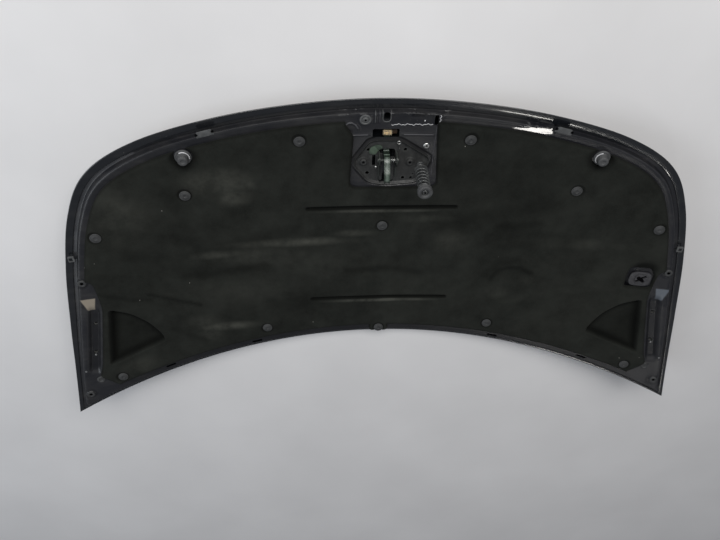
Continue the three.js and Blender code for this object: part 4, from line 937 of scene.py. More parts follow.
def panel_lift(points):
    """Height of the inner panel above the skin, with all its pressings."""
    foot, wall = band_loop(FOOT_BAND, 60, 150), band_loop(WALL_BAND, 60, 150)
    in_foot, in_wall = inside(points, foot), inside(points, wall)
    near_foot, near_wall = loop_distance(points, foot), loop_distance(points, wall)
    share = near_foot / np.maximum(near_foot + near_wall, 1e-6)
    rise = share - 0.12 * np.sin(2 * np.pi * share)
    lift = np.where(in_foot, blend_values(FLANGE, PLATEAU, rise), FLANGE)
    lift = np.where(in_wall, hidden_lift(points), lift)
    x, y = points[:, 0], points[:, 1]
    # swage that runs round the plateau
    lift = lift + np.where(in_wall & (near_wall < 9), 0.6 * bell(near_wall - 3.2, 1.8), 0)
    for side in (-1, 1):
        for bx, by, radius in BOSSES:
            reach = np.hypot(x - side * bx, y - by)
            lift = lift + 1.6 * fade(reach, radius, radius + 2.2) + 0.9 * bell(reach - radius + 1.2, 1.3)
            lift = lift - 1.2 * bell(reach - radius - 5, 2)
        top, along, across, length = channel_axes(side)
        u, v = (points - top) @ along, np.abs((points - top) @ across)
        depth = between(u, 0, 26, length - 16, length + 3) * fade(v, CHANNEL_HALF - 7, CHANNEL_HALF + 2)
        lift = lift - depth * (PLATEAU - 11)
        ridge = bell(v - CHANNEL_HALF - 4, 1.8) * between(u, 4, 24, length - 4, length + 4)
        lift = lift + 0.8 * ridge
        bed = mirrored(RECESS, side)
        outer = offset_loop(bed, 5.6)
        sunk = np.where(inside(points, outer), smoothstep(loop_distance(points, outer), 0, 5), 0)
        lift = blend_values(lift, RECESS_BED, sunk)
    for (px, py), radius in ((BUMPERS[0], 16), (BUMPERS[1], 16), (PLUG, 12), (RIVET, 7.2)):
        lift = lift + SEAT_RISE * fade(np.hypot(x - px, y - py), radius, radius + 2.5)
    # pocket of the catch's plate, facet at the right front, small ridges and the step of the glossy strip
    pocket = round_loop(latch_plan(offset_loop(anticlockwise(PLATE_OUTLINE), 7)), 14)
    floor = LATCH_HEIGHT + math.tan(LATCH_SLOPE) * (y - LATCH[1]) - skin_height(x, y)
    sunk = np.where(inside(points, pocket), smoothstep(loop_distance(points, pocket), 0, 3.5), 0)
    lift = blend_values(lift, floor, sunk)
    facet = between(x, 232, 240, 308, 314) * between(y, 306, 310, 323, 327)
    plane = FACET_HEIGHT + FACET_SLOPES[0] * (x - FACET[0]) + FACET_SLOPES[1] * (y - FACET[1])
    lift = blend_values(lift, plane - skin_height(x, y), facet)
    near = (np.abs(x - LATCH[0]) < 105) & (y > 190)
    ridges = [
        ([(-72, 306), (-30, 306)], 1.6, 2.6), ([(32, 306), (92, 306)], 1.6, 2.6),
        ([(-20, 333), (-20, 353)], 1.4, 2.2),
        ([(-12, 333), (-12, 353)], 1.2, 2.0),
        ([(-78, 318), (-71, 329), (-64, 331), (-57, 329), (-50, 318)], 1.4, 2.4),
        ([(101, 318), (103, 350)], 1.3, 2.4), ([(10, 351), (88, 348)], 1.1, 1.8),
    ]
    for line, height, width in ridges:
        lift = lift + np.where(near, height * bell(line_distance(points, line), width), 0)
    strip = np.where(near & (y > 318), between(x, 6, 10, 85, 89) * between(y, 323, 327, 344, 349), 0)
    edge = np.where(near, bell(y - ragged_edge(x, 0.7, 0.5), 1.5) * between(x, 6, 12, 80, 86), 0)
    return lift - 1.3 * strip + 1.0 * edge


def inner_panel():
    """Stamped inner panel, fine where it shows and coarse below the pad."""
    flange = band_loop(even_band(SKIN + HEM_GAP), 60, 150)
    foot, wall = band_loop(FOOT_BAND, 60, 150), band_loop(WALL_BAND, 60, 150)
    holes = panel_holes()
    loops = [flange, foot, wall, *holes]
    steps = [
        band_loop(between_bands(FOOT_BAND, WALL_BAND, s), 60, 150) for s in (0.15, 0.32, 0.5, 0.68, 0.85)
    ]
    steps += [band_loop(tuple(w + d for w in WALL_BAND), 60, 150) for d in (1.4, 3.2, 5.0, 7.0)]
    fine = plan_grid(4.0)
    fine = fine[inside(fine, wall) & (loop_distance(fine, wall) > 9)]
    fine = fine[~in_pad(fine)]
    coarse = plan_grid(13.0)
    coarse = coarse[inside(coarse, offset_loop(flange[::3], -3))]
    coarse = coarse[in_pad(coarse)]
    catch = np.vstack([plan_grid(1.9, (-92, 110, 186, 356)), plan_grid(2.0, (230, 316, 304, 328))])
    rings = []
    for side in (-1, 1):
        rings += [circle(side * x, y, r + d, 28) for x, y, r in BOSSES for d in (-0.5, 0.6, 1.6, 2.6)]
        top, along, across, length = channel_axes(side)
        u, v = np.meshgrid(np.arange(-3, length + 6, 2.5), np.arange(-17, 17.1, 1.25))
        rings.append(top + u.reshape(-1, 1) * along + v.reshape(-1, 1) * across)
    extra = np.vstack([*steps, fine, coarse, catch, *rings])
    extra = extra[inside(extra, offset_loop(flange[::2], -0.6))]
    plan, faces = triangulate(loops, extra, within(flange, holes))
    top = skin_height(plan[:, 0], plan[:, 1]) + panel_lift(plan)
    points, solid = closed_sheet(plan, faces, top, top - PANEL)
    obj = piece_from("stamped_inner_panel", points, solid, FINISHES["panel"], sharp=50)
    shade_piece(obj, panel_painted_shade(plan))
    return obj


def shade_piece(obj, shade):
    """Keeps the painted shade of a sheet's upper points, which its finish reads."""
    values = np.concatenate([shade, shade * 0]).astype(np.float32)
    obj.data.attributes.new("hollow", "FLOAT", "POINT").data.foreach_set("value", values)


def panel_painted_shade(points):
    """Painted shade of the panel's troughs, the rings round its bosses, the prop socket and the catch plate's
    pocket, and of the rear edge that turns away from the light.
    """
    x, y = points[:, 0], points[:, 1]
    rear = y - rear_edge(x)
    shade = np.where(np.abs(x) < 640, 0.75 * fade(rear, 26, 40) * fade(np.abs(x), 560, 640), 0)
    for side in (-1, 1):
        top, along, across, length = channel_axes(side)
        u, v = (points - top) @ along, np.abs((points - top) @ across)
        trough = between(u, 4, 30, length - 12, length) * fade(v, CHANNEL_HALF - 6, CHANNEL_HALF + 1)
        shade = np.maximum(shade, 0.7 * trough)
        for bx, by, radius in BOSSES:
            reach = np.hypot(x - side * bx, y - by)
            shade = np.maximum(shade, 0.7 * bell(reach - radius - 4.5, 2.4))
    shade = np.maximum(shade, 0.8 * fade(np.hypot(x - PROP[0], y - PROP[1]), 30, 40))
    pocket = round_loop(latch_plan(offset_loop(anticlockwise(PLATE_OUTLINE), 4)), 12)
    return np.maximum(shade, 0.55 * bell(loop_distance(points, pocket), 3.0))


def pad_lift(points, rim, thick):
    """Heights of the pad's two faces above the skin: soft rim, sewn-in dips, folds and corner recesses."""
    x, y = points[:, 0], points[:, 1]
    away = distance_to(points, *rim)
    shoulder = np.sqrt(np.clip(1 - (1 - np.clip(away / 10, 0, 1)) ** 2, 0, 1))
    top = PAD_LOW + 3.0 + (thick - 3.0) * (0.1 + 0.9 * shoulder)
    soft = smoothstep(away, 4, 30)
    for rate_x, rate_y, amount, phase in (
        (0.011, 0.017, 0.55, 0), (0.023, -0.009, 0.4, 1.1), (-0.017, 0.031, 0.3, 2.3),
        (0.041, 0.037, 0.16, 0.7),
    ):
        top = top + soft * amount * np.sin(rate_x * x + rate_y * y + phase)
    for line, height, width in FOLDS:
        top = top + soft * height * bell(line_distance(points, line), width)
    radius = np.hypot(x - ROUND_MARK[0], y - ROUND_MARK[1])
    top = top - 1.5 * fade(radius, 38, 52) + 0.6 * bell(radius - 53, 5)
    for groove in GROOVES:
        dip = np.hypot(np.maximum(np.abs(x) - GROOVE_HALF, 0), y - groove)
        top = top - 4.2 * fade(dip, 1.4, 4.4) + 0.5 * bell(dip - 8, 3)
    for cx, cy in [*CLIPS, *REAR_CLIPS]:
        reach = np.hypot(x - cx, y - cy)
        top = top - (1.6 * fade(reach, 11.5, 15) + 1.1 * bell(reach, 26))
    for cx, cy in BUMPERS:
        reach = np.hypot(x - cx, y - cy)
        top = top - 2.2 * fade(reach, 17, 24)
    bay = np.hypot((x - PROP_BAY[0]) / 30, (y - PROP_BAY[1]) / 22)
    top = top - 4.5 * fade(bay, 0.5, 1.1)
    disc = np.hypot(x + 305, y - 296)
    top = top - 0.9 * fade(disc, 9, 13)
    for side in (-1, 1):
        bed = mirrored(RECESS, side)
        inner = round_loop(bed, 14)
        depth = np.where(inside(points, inner), smoothstep(loop_distance(points, inner), 0, 9), 0)
        top = blend_values(top, 12.0 + 0.6 * np.sin(x * 0.05) * np.sin(y * 0.07), depth)
        lip = np.where(inside(points, inner), 0, bell(loop_distance(points, inner), 5))
        top = top + 0.5 * lip * soft
    return top, np.minimum(PAD_LOW, top - 3.0)


def pad_painted_shade(points, rim):
    """Painted shade of the pad's dips, rim, recesses, fold valleys and long shadows, where light doesn't
    reach.
    """
    x, y = points[:, 0], points[:, 1]
    shade = 0.55 * fade(distance_to(points, *rim), 0.5, 6)
    for groove in GROOVES:
        dip = np.hypot(np.maximum(np.abs(x) - GROOVE_HALF, 0), y - groove)
        shade = np.maximum(shade, 0.95 * fade(dip, 2.6, 6.4))
    for cx, cy in [*CLIPS, *REAR_CLIPS]:
        shade = np.maximum(shade, 0.55 * fade(np.hypot(x - cx, y - cy), 12, 17))
    for cx, cy in BUMPERS:
        shade = np.maximum(shade, 0.8 * fade(np.hypot(x - cx, y - cy), 18, 34))
    bay = np.hypot((x - PROP_BAY[0]) / 30, (y - PROP_BAY[1]) / 22)
    shade = np.maximum(shade, 0.9 * fade(bay, 0.5, 1.2))
    for side in (-1, 1):
        inner = round_loop(mirrored(RECESS, side), 14)
        away = loop_distance(points, inner)
        within = inside(points, inner)
        wall = np.where(within, 1 - smoothstep(away, 5, 26), 0)
        shade = np.maximum(shade, np.where(within, (0.4 + 0.6 * wall) * smoothstep(away, 0, 7), 0))
    for line, height, width in FOLDS:
        amount = 0.45 if height < 0 else 0.0
        shade = np.maximum(shade, amount * bell(line_distance(points, line), width))
    for line, width, amount in SHADOWS:
        shade = np.maximum(shade, amount * bell(line_distance(points, line), width))
    return shade


# Long soft shadows of the pad's waves: line, width and strength
SHADOWS = [
    ([(-500, -45), (-430, -75), (-400, -88)], 5, 0.6), ([(130, 95), (240, 130), (330, 150)], 22, 0.35),
    ([(250, 96), (330, 108)], 12, 0.4),
    ([(-330, 60), (-180, 92)], 18, 0.3), ([(-80, -14), (-20, -22), (40, -14)], 4, 0.4),
    ([(240, -30), (262, 4), (300, 10)], 12, 0.4),
    ([(-520, 60), (-440, 20)], 24, 0.3), ([(-330, -110), (-100, -90)], 26, 0.25),
    ([(120, 200), (300, 190)], 40, 0.2),
    ([(-470, -150), (-405, -190)], 10, 0.35),
    ([(250, -40), (262, -18), (284, -8), (312, -8), (335, -22)], 7, 0.5),
    ([(-560, 120), (-450, 100), (-380, 70)], 14, 0.25), ([(300, 60), (420, 70)], 20, 0.2),
    ([(-420, 200), (-400, 120)], 16, 0.25),
]

# Soft folds of the pad: line, height and width
FOLDS = [
    ([(-470, 30), (-420, 22), (-330, 22), (-240, 36), (-140, 60), (-40, 78)], 1.5, 9),
    ([(-420, -8), (-330, -4), (-250, 8)], -0.9, 12), ([(90, 108), (150, 120), (230, 142)], 1.2, 9),
    ([(120, 52), (150, 76), (170, 110)], 0.9, 10), ([(250, 60), (420, 52), (560, 58)], 0.8, 12),
    ([(-70, -20), (20, -12), (90, -28)], -0.7, 9), ([(-610, 20), (-500, -40), (-430, -70)], 0.9, 10),
    ([(-600, -30), (-540, -56), (-500, -60)], -0.8, 7), ([(-350, -150), (-300, -168), (-240, -165)], 1.0, 9),
    ([(-480, -190), (-420, -165), (-360, -150)], 0.8, 10), ([(430, -120), (470, -150), (480, -190)], 0.7, 9),
]


def insulating_pad(thick):
    """Felt pad with its cut-outs, dips at the clips, grooves and folds."""
    edge, cuts, tab = pad_loops()
    holes = [circle(x, y, 17, 40) for x, y in BUMPERS]
    loops = [edge, *cuts, tab, *holes]

    def keep(centres):
        kept = in_pad(centres)
        for hole in holes:
            kept &= ~inside(centres, hole)
        return kept

    plan, faces = triangulate(loops, np.empty((0, 2)), keep)
    rim = rim_edges(faces)
    starts, ends = plan[rim[:, 0]], plan[rim[:, 1]]
    coarse = plan_grid(7.0)
    coarse = coarse[in_pad(coarse)]
    away = distance_to(coarse, starts, ends)
    fine = plan_grid(2.6)
    fine = fine[in_pad(fine)]
    near = distance_to(fine, starts, ends)
    fine = fine[(near < 12) & (near > 0.8)]
    rings = []
    for x, y in [*CLIPS, *REAR_CLIPS]:
        rings += [circle(x, y, r, 36) for r in (6, 9, 11, 12, 13, 14, 15, 16.5, 19, 23)]
    for x, y in BUMPERS:
        rings += [circle(x, y, r, 40) for r in (18, 19.5, 21, 22.5, 24, 26)]
    rings += [circle(*ROUND_MARK, r, 60) for r in (36, 40, 44, 48, 52, 56, 60)]
    along = np.arange(-160, 161, 2.5)
    for groove in GROOVES:
        for d in (-9, -6, -4.4, -3.2, -2, -1, 0, 1, 2, 3.2, 4.4, 6, 9):
            rings.append(np.stack([along, np.full(len(along), groove + d)], 1))
    for side in (-1, 1):
        bed = round_loop(mirrored(RECESS, side), 14, longest=3)
        centre = bed.mean(axis=0)
        for d in (-4, -2, 0, 1.5, 3, 4.5, 6, 7.5, 9, 11):
            rings.append(bed + (centre - bed) / np.linalg.norm(centre - bed, axis=1)[:, None] * d)
    extra = np.vstack([coarse[away > 10], fine, *rings])
    extra = extra[keep(extra)]
    extra = extra[distance_to(extra, starts, ends) > 0.5]
    plan, faces = triangulate(loops, extra, keep)
    rim = rim_edges(faces)
    rim = plan[rim[:, 0]], plan[rim[:, 1]]
    top, bottom = pad_lift(plan, rim, thick)
    base = skin_height(plan[:, 0], plan[:, 1])
    points, solid = closed_sheet(plan, faces, base + top, base + bottom)
    obj = piece_from("felt_insulating_pad", points, solid, FINISHES["felt"], sharp=60)
    shade_piece(obj, pad_painted_shade(plan, rim))
    return obj


# Repeats made with Geometry Nodes

def geometry_tree(name, sockets):
    tree = bpy.data.node_groups.new(name, "GeometryNodeTree")
    tree.interface.new_socket("Geometry", in_out="INPUT", socket_type="NodeSocketGeometry")
    tree.interface.new_socket("Geometry", in_out="OUTPUT", socket_type="NodeSocketGeometry")
    identifiers = {}
    for label, kind, value in sockets:
        socket = tree.interface.new_socket(label, in_out="INPUT", socket_type=kind)
        if value is not None:
            socket.default_value = value
        identifiers[label] = socket.identifier
    return tree, identifiers, tree.nodes.new("NodeGroupInput"), tree.nodes.new("NodeGroupOutput")


def finish_tree(tree, made, group_in, group_out):
    real = node(tree, "GeometryNodeRealizeInstances", {0: made})
    finish = node(
        tree, "GeometryNodeSetMaterial", {0: real.outputs[0], "Material": group_in.outputs["Material"]},
    )
    tree.links.new(finish.outputs[0], group_out.inputs[0])


def scatter_tree():
    """Copies of one small piece, each stood on its own point and turned to the surface."""
    tree, ids, group_in, group_out = geometry_tree("stand_on_points", [
        ("Piece", "NodeSocketObject", None), ("Scale", "NodeSocketFloat", 1.0),
        ("Material", "NodeSocketMaterial", None),
    ])
    info = node(tree, "GeometryNodeObjectInfo", {"Object": group_in.outputs["Piece"], "As Instance": True})
    turn = node(tree, "GeometryNodeInputNamedAttribute", {"Name": "turn"}, data_type="FLOAT_VECTOR")
    stand = node(tree, "GeometryNodeInstanceOnPoints", {
        "Points": group_in.outputs[0], "Instance": info.outputs["Geometry"], "Rotation": turn.outputs[0],
        "Scale": group_in.outputs["Scale"],
    })
    finish_tree(tree, stand.outputs[0], group_in, group_out)
    return tree, ids


def coil_tree():
    """Wire wound round Z: its end radii, turns, height and thickness are inputs."""
    tree, ids, group_in, group_out = geometry_tree("wound_wire", [
        ("Turns", "NodeSocketFloat", 5.0), ("Start radius", "NodeSocketFloat", 0.011),
        ("End radius", "NodeSocketFloat", 0.011),
        ("Height", "NodeSocketFloat", 0.05), ("Wire", "NodeSocketFloat", 0.0015),
        ("Steps", "NodeSocketInt", 40),
        ("Material", "NodeSocketMaterial", None),
    ])
    spiral = node(tree, "GeometryNodeCurveSpiral", {
        "Resolution": group_in.outputs["Steps"], "Rotations": group_in.outputs["Turns"],
        "Start Radius": group_in.outputs["Start radius"], "End Radius": group_in.outputs["End radius"],
        "Height": group_in.outputs["Height"],
    })
    ring = node(
        tree, "GeometryNodeCurvePrimitiveCircle", {"Resolution": 12, "Radius": group_in.outputs["Wire"]},
    )
    wire = node(
        tree, "GeometryNodeCurveToMesh",
        {"Curve": spiral.outputs[0], "Profile Curve": ring.outputs[0], "Fill Caps": True},
    )
    smooth = node(tree, "GeometryNodeSetShadeSmooth", {0: wire.outputs[0]})
    finish_tree(tree, smooth.outputs[0], group_in, group_out)
    return tree, ids


def run_tree(obj, tree, ids, values):
    modifier = obj.modifiers.new("pattern", "NODES")
    modifier.node_group = tree
    for label, value in values.items():
        modifier[ids[label]] = value
    return apply_modifiers(obj)


def scatter(name, source, matrices, material):
    """One piece made of copies of source, each stood by its own matrix."""
    mesh = bpy.data.meshes.new(name)
    mesh.from_pydata([tuple(m.to_translation() * MM) for m in matrices], [], [])
    turn = mesh.attributes.new("turn", "FLOAT_VECTOR", "POINT")
    for k, m in enumerate(matrices):
        turn.data[k].vector = tuple(m.to_euler())
    obj = bpy.data.objects.new(name, mesh)
    bpy.context.scene.collection.objects.link(obj)
    tree, ids = scatter_tree()
    run_tree(obj, tree, ids, {"Piece": source, "Material": material})
    bpy.data.objects.remove(source)
    return obj


def coil_piece(name, turns, start_radius, end_radius, height, wire, material, matrix, steps_a_turn=40):
    mesh = bpy.data.meshes.new(name)
    obj = bpy.data.objects.new(name, mesh)
    bpy.context.scene.collection.objects.link(obj)
    tree, ids = coil_tree()
    run_tree(obj, tree, ids, {
        "Turns": float(turns), "Start radius": start_radius * MM, "End radius": end_radius * MM,
        "Height": height * MM,
        "Wire": wire * MM, "Steps": int(steps_a_turn * turns), "Material": material,
    })
    obj.data.transform(Matrix.Scale(MM, 4) @ matrix @ Matrix.Scale(1 / MM, 4))
    return obj


# Settings

class BonnetSizes(bpy.types.PropertyGroup):
    """Sizes of the bonnet's pieces."""
    pad_thickness: FloatProperty(
        name="Pad thickness", description="Thickness of the insulating pad", default=0.0077, min=0.004,
        max=0.012, unit="LENGTH",
    )
    clip_radius: FloatProperty(
        name="Clip head radius", description="Radius of the pad clips' heads", default=0.011, min=0.006,
        max=0.016, unit="LENGTH",
    )
    bumper_height: FloatProperty(
        name="Bumper height", description="Height of the rubber bumpers above the panel", default=0.020,
        min=0.012, max=0.03, unit="LENGTH",
    )
    spring_turns: FloatProperty(
        name="Spring turns", description="Turns of the pop-up spring", default=6.5, min=3.0, max=8.0,
    )
    lathe_sides: IntProperty(
        name="Sides of round pieces", description="Sides of each turned piece", default=48, min=16, max=96,
    )


class BonnetColours(bpy.types.PropertyGroup):
    """Colours of the bonnet's finishes."""
    panel: FloatVectorProperty(
        name="Panel", description="Lacquer of the inner panel", subtype="COLOR", size=3,
        default=(0.0094, 0.0098, 0.0122), min=0, max=1,
    )
    pad: FloatVectorProperty(
        name="Pad", description="Felt of the pad", subtype="COLOR", size=3, default=(0.0128, 0.0138, 0.0122),
        min=0, max=1,
    )
    pad_dust_and_highlight: FloatVectorProperty(
        name="Dust", description="Dust on the pad", subtype="COLOR", size=3, default=(0.058, 0.059, 0.051),
        min=0, max=1,
    )
    clip: FloatVectorProperty(
        name="Clips", description="Plastic of the clips", subtype="COLOR", size=3,
        default=(0.025, 0.026, 0.0265), min=0, max=1,
    )
    rubber: FloatVectorProperty(
        name="Rubber", description="Rubber of the bumpers and the spring cup", subtype="COLOR", size=3,
        default=(0.036, 0.037, 0.038), min=0, max=1,
    )


def settings():
    scene = bpy.context.scene
    return scene.bonnet_sizes, scene.bonnet_colours


# Operators

class BONNET_OT_skin(bpy.types.Operator):
    """Outer skin with its hem"""
    bl_idname = "bonnet.skin"
    bl_label = "Outer skin"

    def execute(self, context):
        obj = outer_skin()
        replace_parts(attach(obj, "bonnet"), "outer_skin")
        return {"FINISHED"}


class BONNET_OT_panel(bpy.types.Operator):
    """Stamped inner panel with its openings and hinge channels"""
    bl_idname = "bonnet.panel"
    bl_label = "Inner panel"

    def execute(self, context):
        obj = inner_panel()
        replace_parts(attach(obj, "bonnet"), "inner_panel")
        return {"FINISHED"}


class BONNET_OT_pad(bpy.types.Operator):
    """Insulating pad"""
    bl_idname = "bonnet.pad"
    bl_label = "Insulating pad"

    def execute(self, context):
        sizes, _ = settings()
        obj = insulating_pad(sizes.pad_thickness / MM)
        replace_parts(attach(obj, "bonnet"), "insulator_pad")
        return {"FINISHED"}


class BONNET_OT_clips(bpy.types.Operator):
    """Pad clips, each pressed into its dip"""
    bl_idname = "bonnet.clips"
    bl_label = "Pad clips"

    def execute(self, context):
        sizes, _ = settings()
        r = sizes.clip_radius / MM
        profile = [
            (0, -12), (2.6, -12), (3.6, -9), (3.6, -1), (5, 0), (r - 0.6, 0), (r, 0.4), (r - 0.2, 0.9),
            (r - 1.6, 1.5),
            (r - 2.4, 1.3), (r - 3.2, 1.7), (r * 0.5, 2.4), (3.4, 2.6), (2.9, 1.9), (1.6, 1.7), (0, 1.9),
        ]
        source = turned_piece(
            "clip_source", profile, FINISHES["clip"], Matrix.Identity(4), sizes.lathe_sides, 0.15,
        )
        places = [standing_matrix(x, y, CLIP_RISE) for x, y in [*CLIPS, *REAR_CLIPS]]
        obj = scatter("pad_clips", source, places, FINISHES["clip"])
        names = [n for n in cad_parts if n.startswith("clip_")]
        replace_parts(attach(obj, "bonnet"), *names)
        return {"FINISHED"}


class BONNET_OT_bumpers(bpy.types.Operator):
    """Rubber bumpers and the inserts that hold them"""
    bl_idname = "bonnet.bumpers"
    bl_label = "Bumpers"

    def execute(self, context):
        sizes, _ = settings()
        top = sizes.bumper_height / MM
        low = 2.1
        rubber = [
            (0, -8), (4, -8), (4, low), (14.2, low), (15.5, low + 0.8), (15.5, 4.9), (14.6, 6.1), (13, 6.6),
            (11.6, 6.3), (10.4, 6.9),
        ]
        for k in range(4):
            z = 8.0 + k * 2.6
            rubber += [(9.5, z), (9.5, z + 1.7), (9.05, z + 1.95), (9.05, z + 2.35)]
        rubber += [
            (9.5, top - 1.6), (8.9, top - 0.6), (7.6, top), (4.2, top), (3.6, top - 0.9), (1.2, top - 1.2),
            (0, top - 1.2),
        ]
        insert = [(4.3, -9), (7.5, -9), (7.5, CLEAR), (11, CLEAR), (11, 1.8), (4.3, 1.8)]
        for name, (x, y), turned in zip(("left", "right"), BUMPERS, (118, 225)):
            matrix = standing_matrix(x, y, SEAT_RISE)
            stub = turned_piece(
                f"rubber_bumper_{name}", rubber, FINISHES["rubber"], matrix, sizes.lathe_sides, 0.2,
            )
            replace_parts(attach(stub, "bonnet"), f"bumper_{name}")
            # the pale ring on the collar is a painted highlight
            turn = Matrix.Translation((0, 0, 7)) @ Matrix.Rotation(math.radians(turned), 4, "Z")
            ring = coil_piece(
                f"bumper_ring_{name}", 0.36, 11.8, 11.8, 0.2, 1.1, FINISHES["bead"], matrix @ turn,
            )
            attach(ring, "bonnet")
            seat = turned_piece(
                f"bumper_seat_{name}", insert, FINISHES["clip"], matrix, sizes.lathe_sides, 0.2,
            )
            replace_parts(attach(seat, "bonnet"), f"bumper_insert_{name}")
        return {"FINISHED"}


class BONNET_OT_hinges(bpy.types.Operator):
    """Hinge reinforcements, weld nuts and the small studs beside the channels"""
    bl_idname = "bonnet.hinges"
    bl_label = "Hinge channels"

    def execute(self, context):
        for name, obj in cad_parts.items():
            if name.startswith("hinge_reinforcement"):
                dress(obj, FINISHES["coated"])
            elif name.startswith("hinge_nut"):
                dress(obj, FINISHES["zinc"])
        profile = [(0, -0.8), (2.4, -0.8), (2.4, 0.3), (2.0, 1.1), (0.9, 1.5), (0, 1.5)]
        source = turned_piece("stud_source", profile, FINISHES["zinc"], Matrix.Identity(4), 20, 0)
        places = []
        for side in (-1, 1):
            for x, y in ((646, -198), (677, -243)):
                places.append(standing_matrix(side * x, y, 0.2))
        studs = scatter("channel_studs", source, places, FINISHES["zinc"])
        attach(studs, "bonnet")
        return {"FINISHED"}


def dress(obj, material):
    for slot in obj.material_slots:
        slot.material = material
    if not obj.material_slots:
        obj.data.materials.append(material)


def plate_surface(points, loop):
    """Height of the catch plate, which rises to its rim."""
    away = loop_distance(points, loop)
    return PLATE_HEIGHT + (PLATE_RIM - PLATE_HEIGHT) * fade(away, 0.0, 5.0) ** 1.3


def plate_sheet(coat):
    """Pressed plate of the catch with its slot, holes, raised seats and bead."""
    edge = round_loop(anticlockwise(PLATE_OUTLINE), 14, longest=3)
    holes = [round_loop(rectangle(*SLOT), 6, longest=4), round_loop(rectangle(*LEVER_SLOT), 1.2)]
    rounds = [*PLATE_HOLES, (46, -30, 1.8), *[(x, y, 4.6) for x, y in BOLTS]]
    holes += [circle(x, y, r, 24) for x, y, r in rounds]
    rings = [offset_loop(edge, -d) for d in (0.8, 1.6, 2.5, 3.5, 5, 7)]
    grid = plan_grid(4.5, (-80, 84, -58, 54))
    extra = np.vstack([*rings, grid[inside(grid, offset_loop(edge, -7))]])
    keep = within(edge, holes)
    plan, faces = triangulate([edge, *holes], extra[keep(extra)], keep)
    top = plate_surface(plan, edge)
    for (x, y), height in ((BOLTS[0], 0.5), (BOLTS[1], 0.5), (STRIKER, 0.4)):
        top = top + height * fade(np.hypot(plan[:, 0] - x, plan[:, 1] - y), 11, 14.5)
    top = top + 0.8 * bell(line_distance(plan, [(-62, 10), (-40, 36), (-24, 40)]), 2.5)
    points, solid = closed_sheet(plan, faces, top, np.maximum(top - 1.5, 0.3))
    return piece_from("plate", points, solid, coat, LATCH_MATRIX, sharp=45)


class BONNET_OT_catch(bpy.types.Operator):
    """Catch plate with its ears, bolts, pivot pin and return spring"""
    bl_idname = "bonnet.catch"
    bl_label = "Catch plate"

    def execute(self, context):
        coat = FINISHES["coated"]
        parts = [plate_sheet(coat)]
        ear = [(-34, 0.3), (24, 0.3), (19, 24), (5, 24), (-6, 11), (-34, 6)]
        hole = circle(PIVOT_Y, PIVOT_Z, PIVOT_HOLE)
        for x, outward in zip(EARS, (-1, 1)):
            loop = round_loop(anticlockwise(ear), 5)
            parts.append(
                side_piece("ear", loop, x + outward * 1.1, 2.2, FINISHES["ear"], LATCH_MATRIX, 0.3, [hole]),
            )
        # tongue that the return spring hooks on, and the green shoulder beside the hook, whose lighter green
        # is partly grease and partly painted highlight
        tongue = round_loop(anticlockwise([(27, 1.5), (34, 1.5), (33, 9), (29, 9)]), 2)
        parts.append(side_piece("tongue", tongue, 15.5, 1.6, coat, LATCH_MATRIX))
        shoulder = [(-42, 18), (-40, 31), (-28, 37), (-18, 36), (-15, 30), (-24, 26), (-29, 16)]
        shoulder = round_loop(anticlockwise(shoulder), 4, longest=4)
        parts.append(prism_piece("shoulder", shoulder, 1.9, 4.2, FINISHES["smear"], LATCH_MATRIX, 1.1))
        # inner webs of the slot, beside the hook
        for x, y, width, length in ((-18.3, -13, 6.4, 62), (3.6, -17, 8.6, 54)):
            web = round_loop(rectangle(x, y, width, length), 2.5, longest=4)
            parts.append(prism_piece("slot_web", web, 0.9, 2.3, coat, LATCH_MATRIX, 0.5))
        plate = join_pieces("catch_plate", parts)
        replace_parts(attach(plate, "bonnet"), "latch_plate")
        low = PLATE_HEIGHT + CLEAR
        bolt = [
            (0, -9), (4, -9), (4, low), (10, low), (10, low + 1.1), (9.5, low + 1.4), (6.5, low + 1.4),
            (6.5, 7.2), (5.6, 8.2), (3.1, 8.2), (2.7, 7.8), (2.7, 4.6), (0, 4.4),
        ]
        for k, (x, y) in enumerate(BOLTS):
            place = LATCH_MATRIX @ Matrix.Translation((x, y, 0))
            made = turned_piece(f"catch_bolt_{k + 1}", bolt, coat, place, 48, 0.2)
            # black disc in the bolt's socket: painted shade
            socket = turned_piece(
                "socket", [(0, 5), (2.9, 5), (2.9, 8), (0, 8)], FINISHES["dark"], place, 6, 0,
            )
            made = join_pieces(f"catch_bolt_{k + 1}", [made, socket])
            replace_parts(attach(made, "bonnet"), f"latch_bolt_{k + 1}")
        across = LATCH_MATRIX @ Matrix.Translation((0, PIVOT_Y, PIVOT_Z))
        across = across @ Matrix.Rotation(math.pi / 2, 4, "Y")
        pin = [
            (0, -26.2), (4.6, -26.2), (5.5, -25.4), (5.5, -23.5), (3, -23.5), (3, 12.5), (5.5, 12.5),
            (5.5, 14.4), (4.6, 15.2), (0, 15.2),
        ]
        made = turned_piece("hook_pivot_pin", pin, FINISHES["ear"], across, 40, 0.2)
        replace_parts(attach(made, "bonnet"), "pivot_pin")
        low_x, high_x = HOOK_X + 5.5 + 1.1, EARS[1] - 1.1
        start = across @ Matrix.Translation((0, 0, low_x))
        spring = coil_piece("return_spring", 2.5, 4.4, 4.4, high_x - low_x, 0.8, FINISHES["zinc"], start)
        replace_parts(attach(spring, "bonnet"), "hook_spring")
        eye = LATCH_MATRIX @ Matrix.Translation((14, 44.5, 6.9)) @ Matrix.Rotation(math.radians(14), 4, "X")
        eye = coil_piece("spring_eye", 1.15, 3.4, 3.4, 1.4, 0.8, FINISHES["zinc"], eye)
        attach(eye, "bonnet")
        dot = [(0, 1.9), (2.6, 1.9), (2.5, 2.9), (1.6, 3.7), (0, 3.9)]
        place = LATCH_MATRIX @ Matrix.Translation((-27, -13, 0))
        dot = turned_piece("plate_rivet", dot, FINISHES["zinc"], place, 24, 0)
        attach(dot, "bonnet")
        return {"FINISHED"}


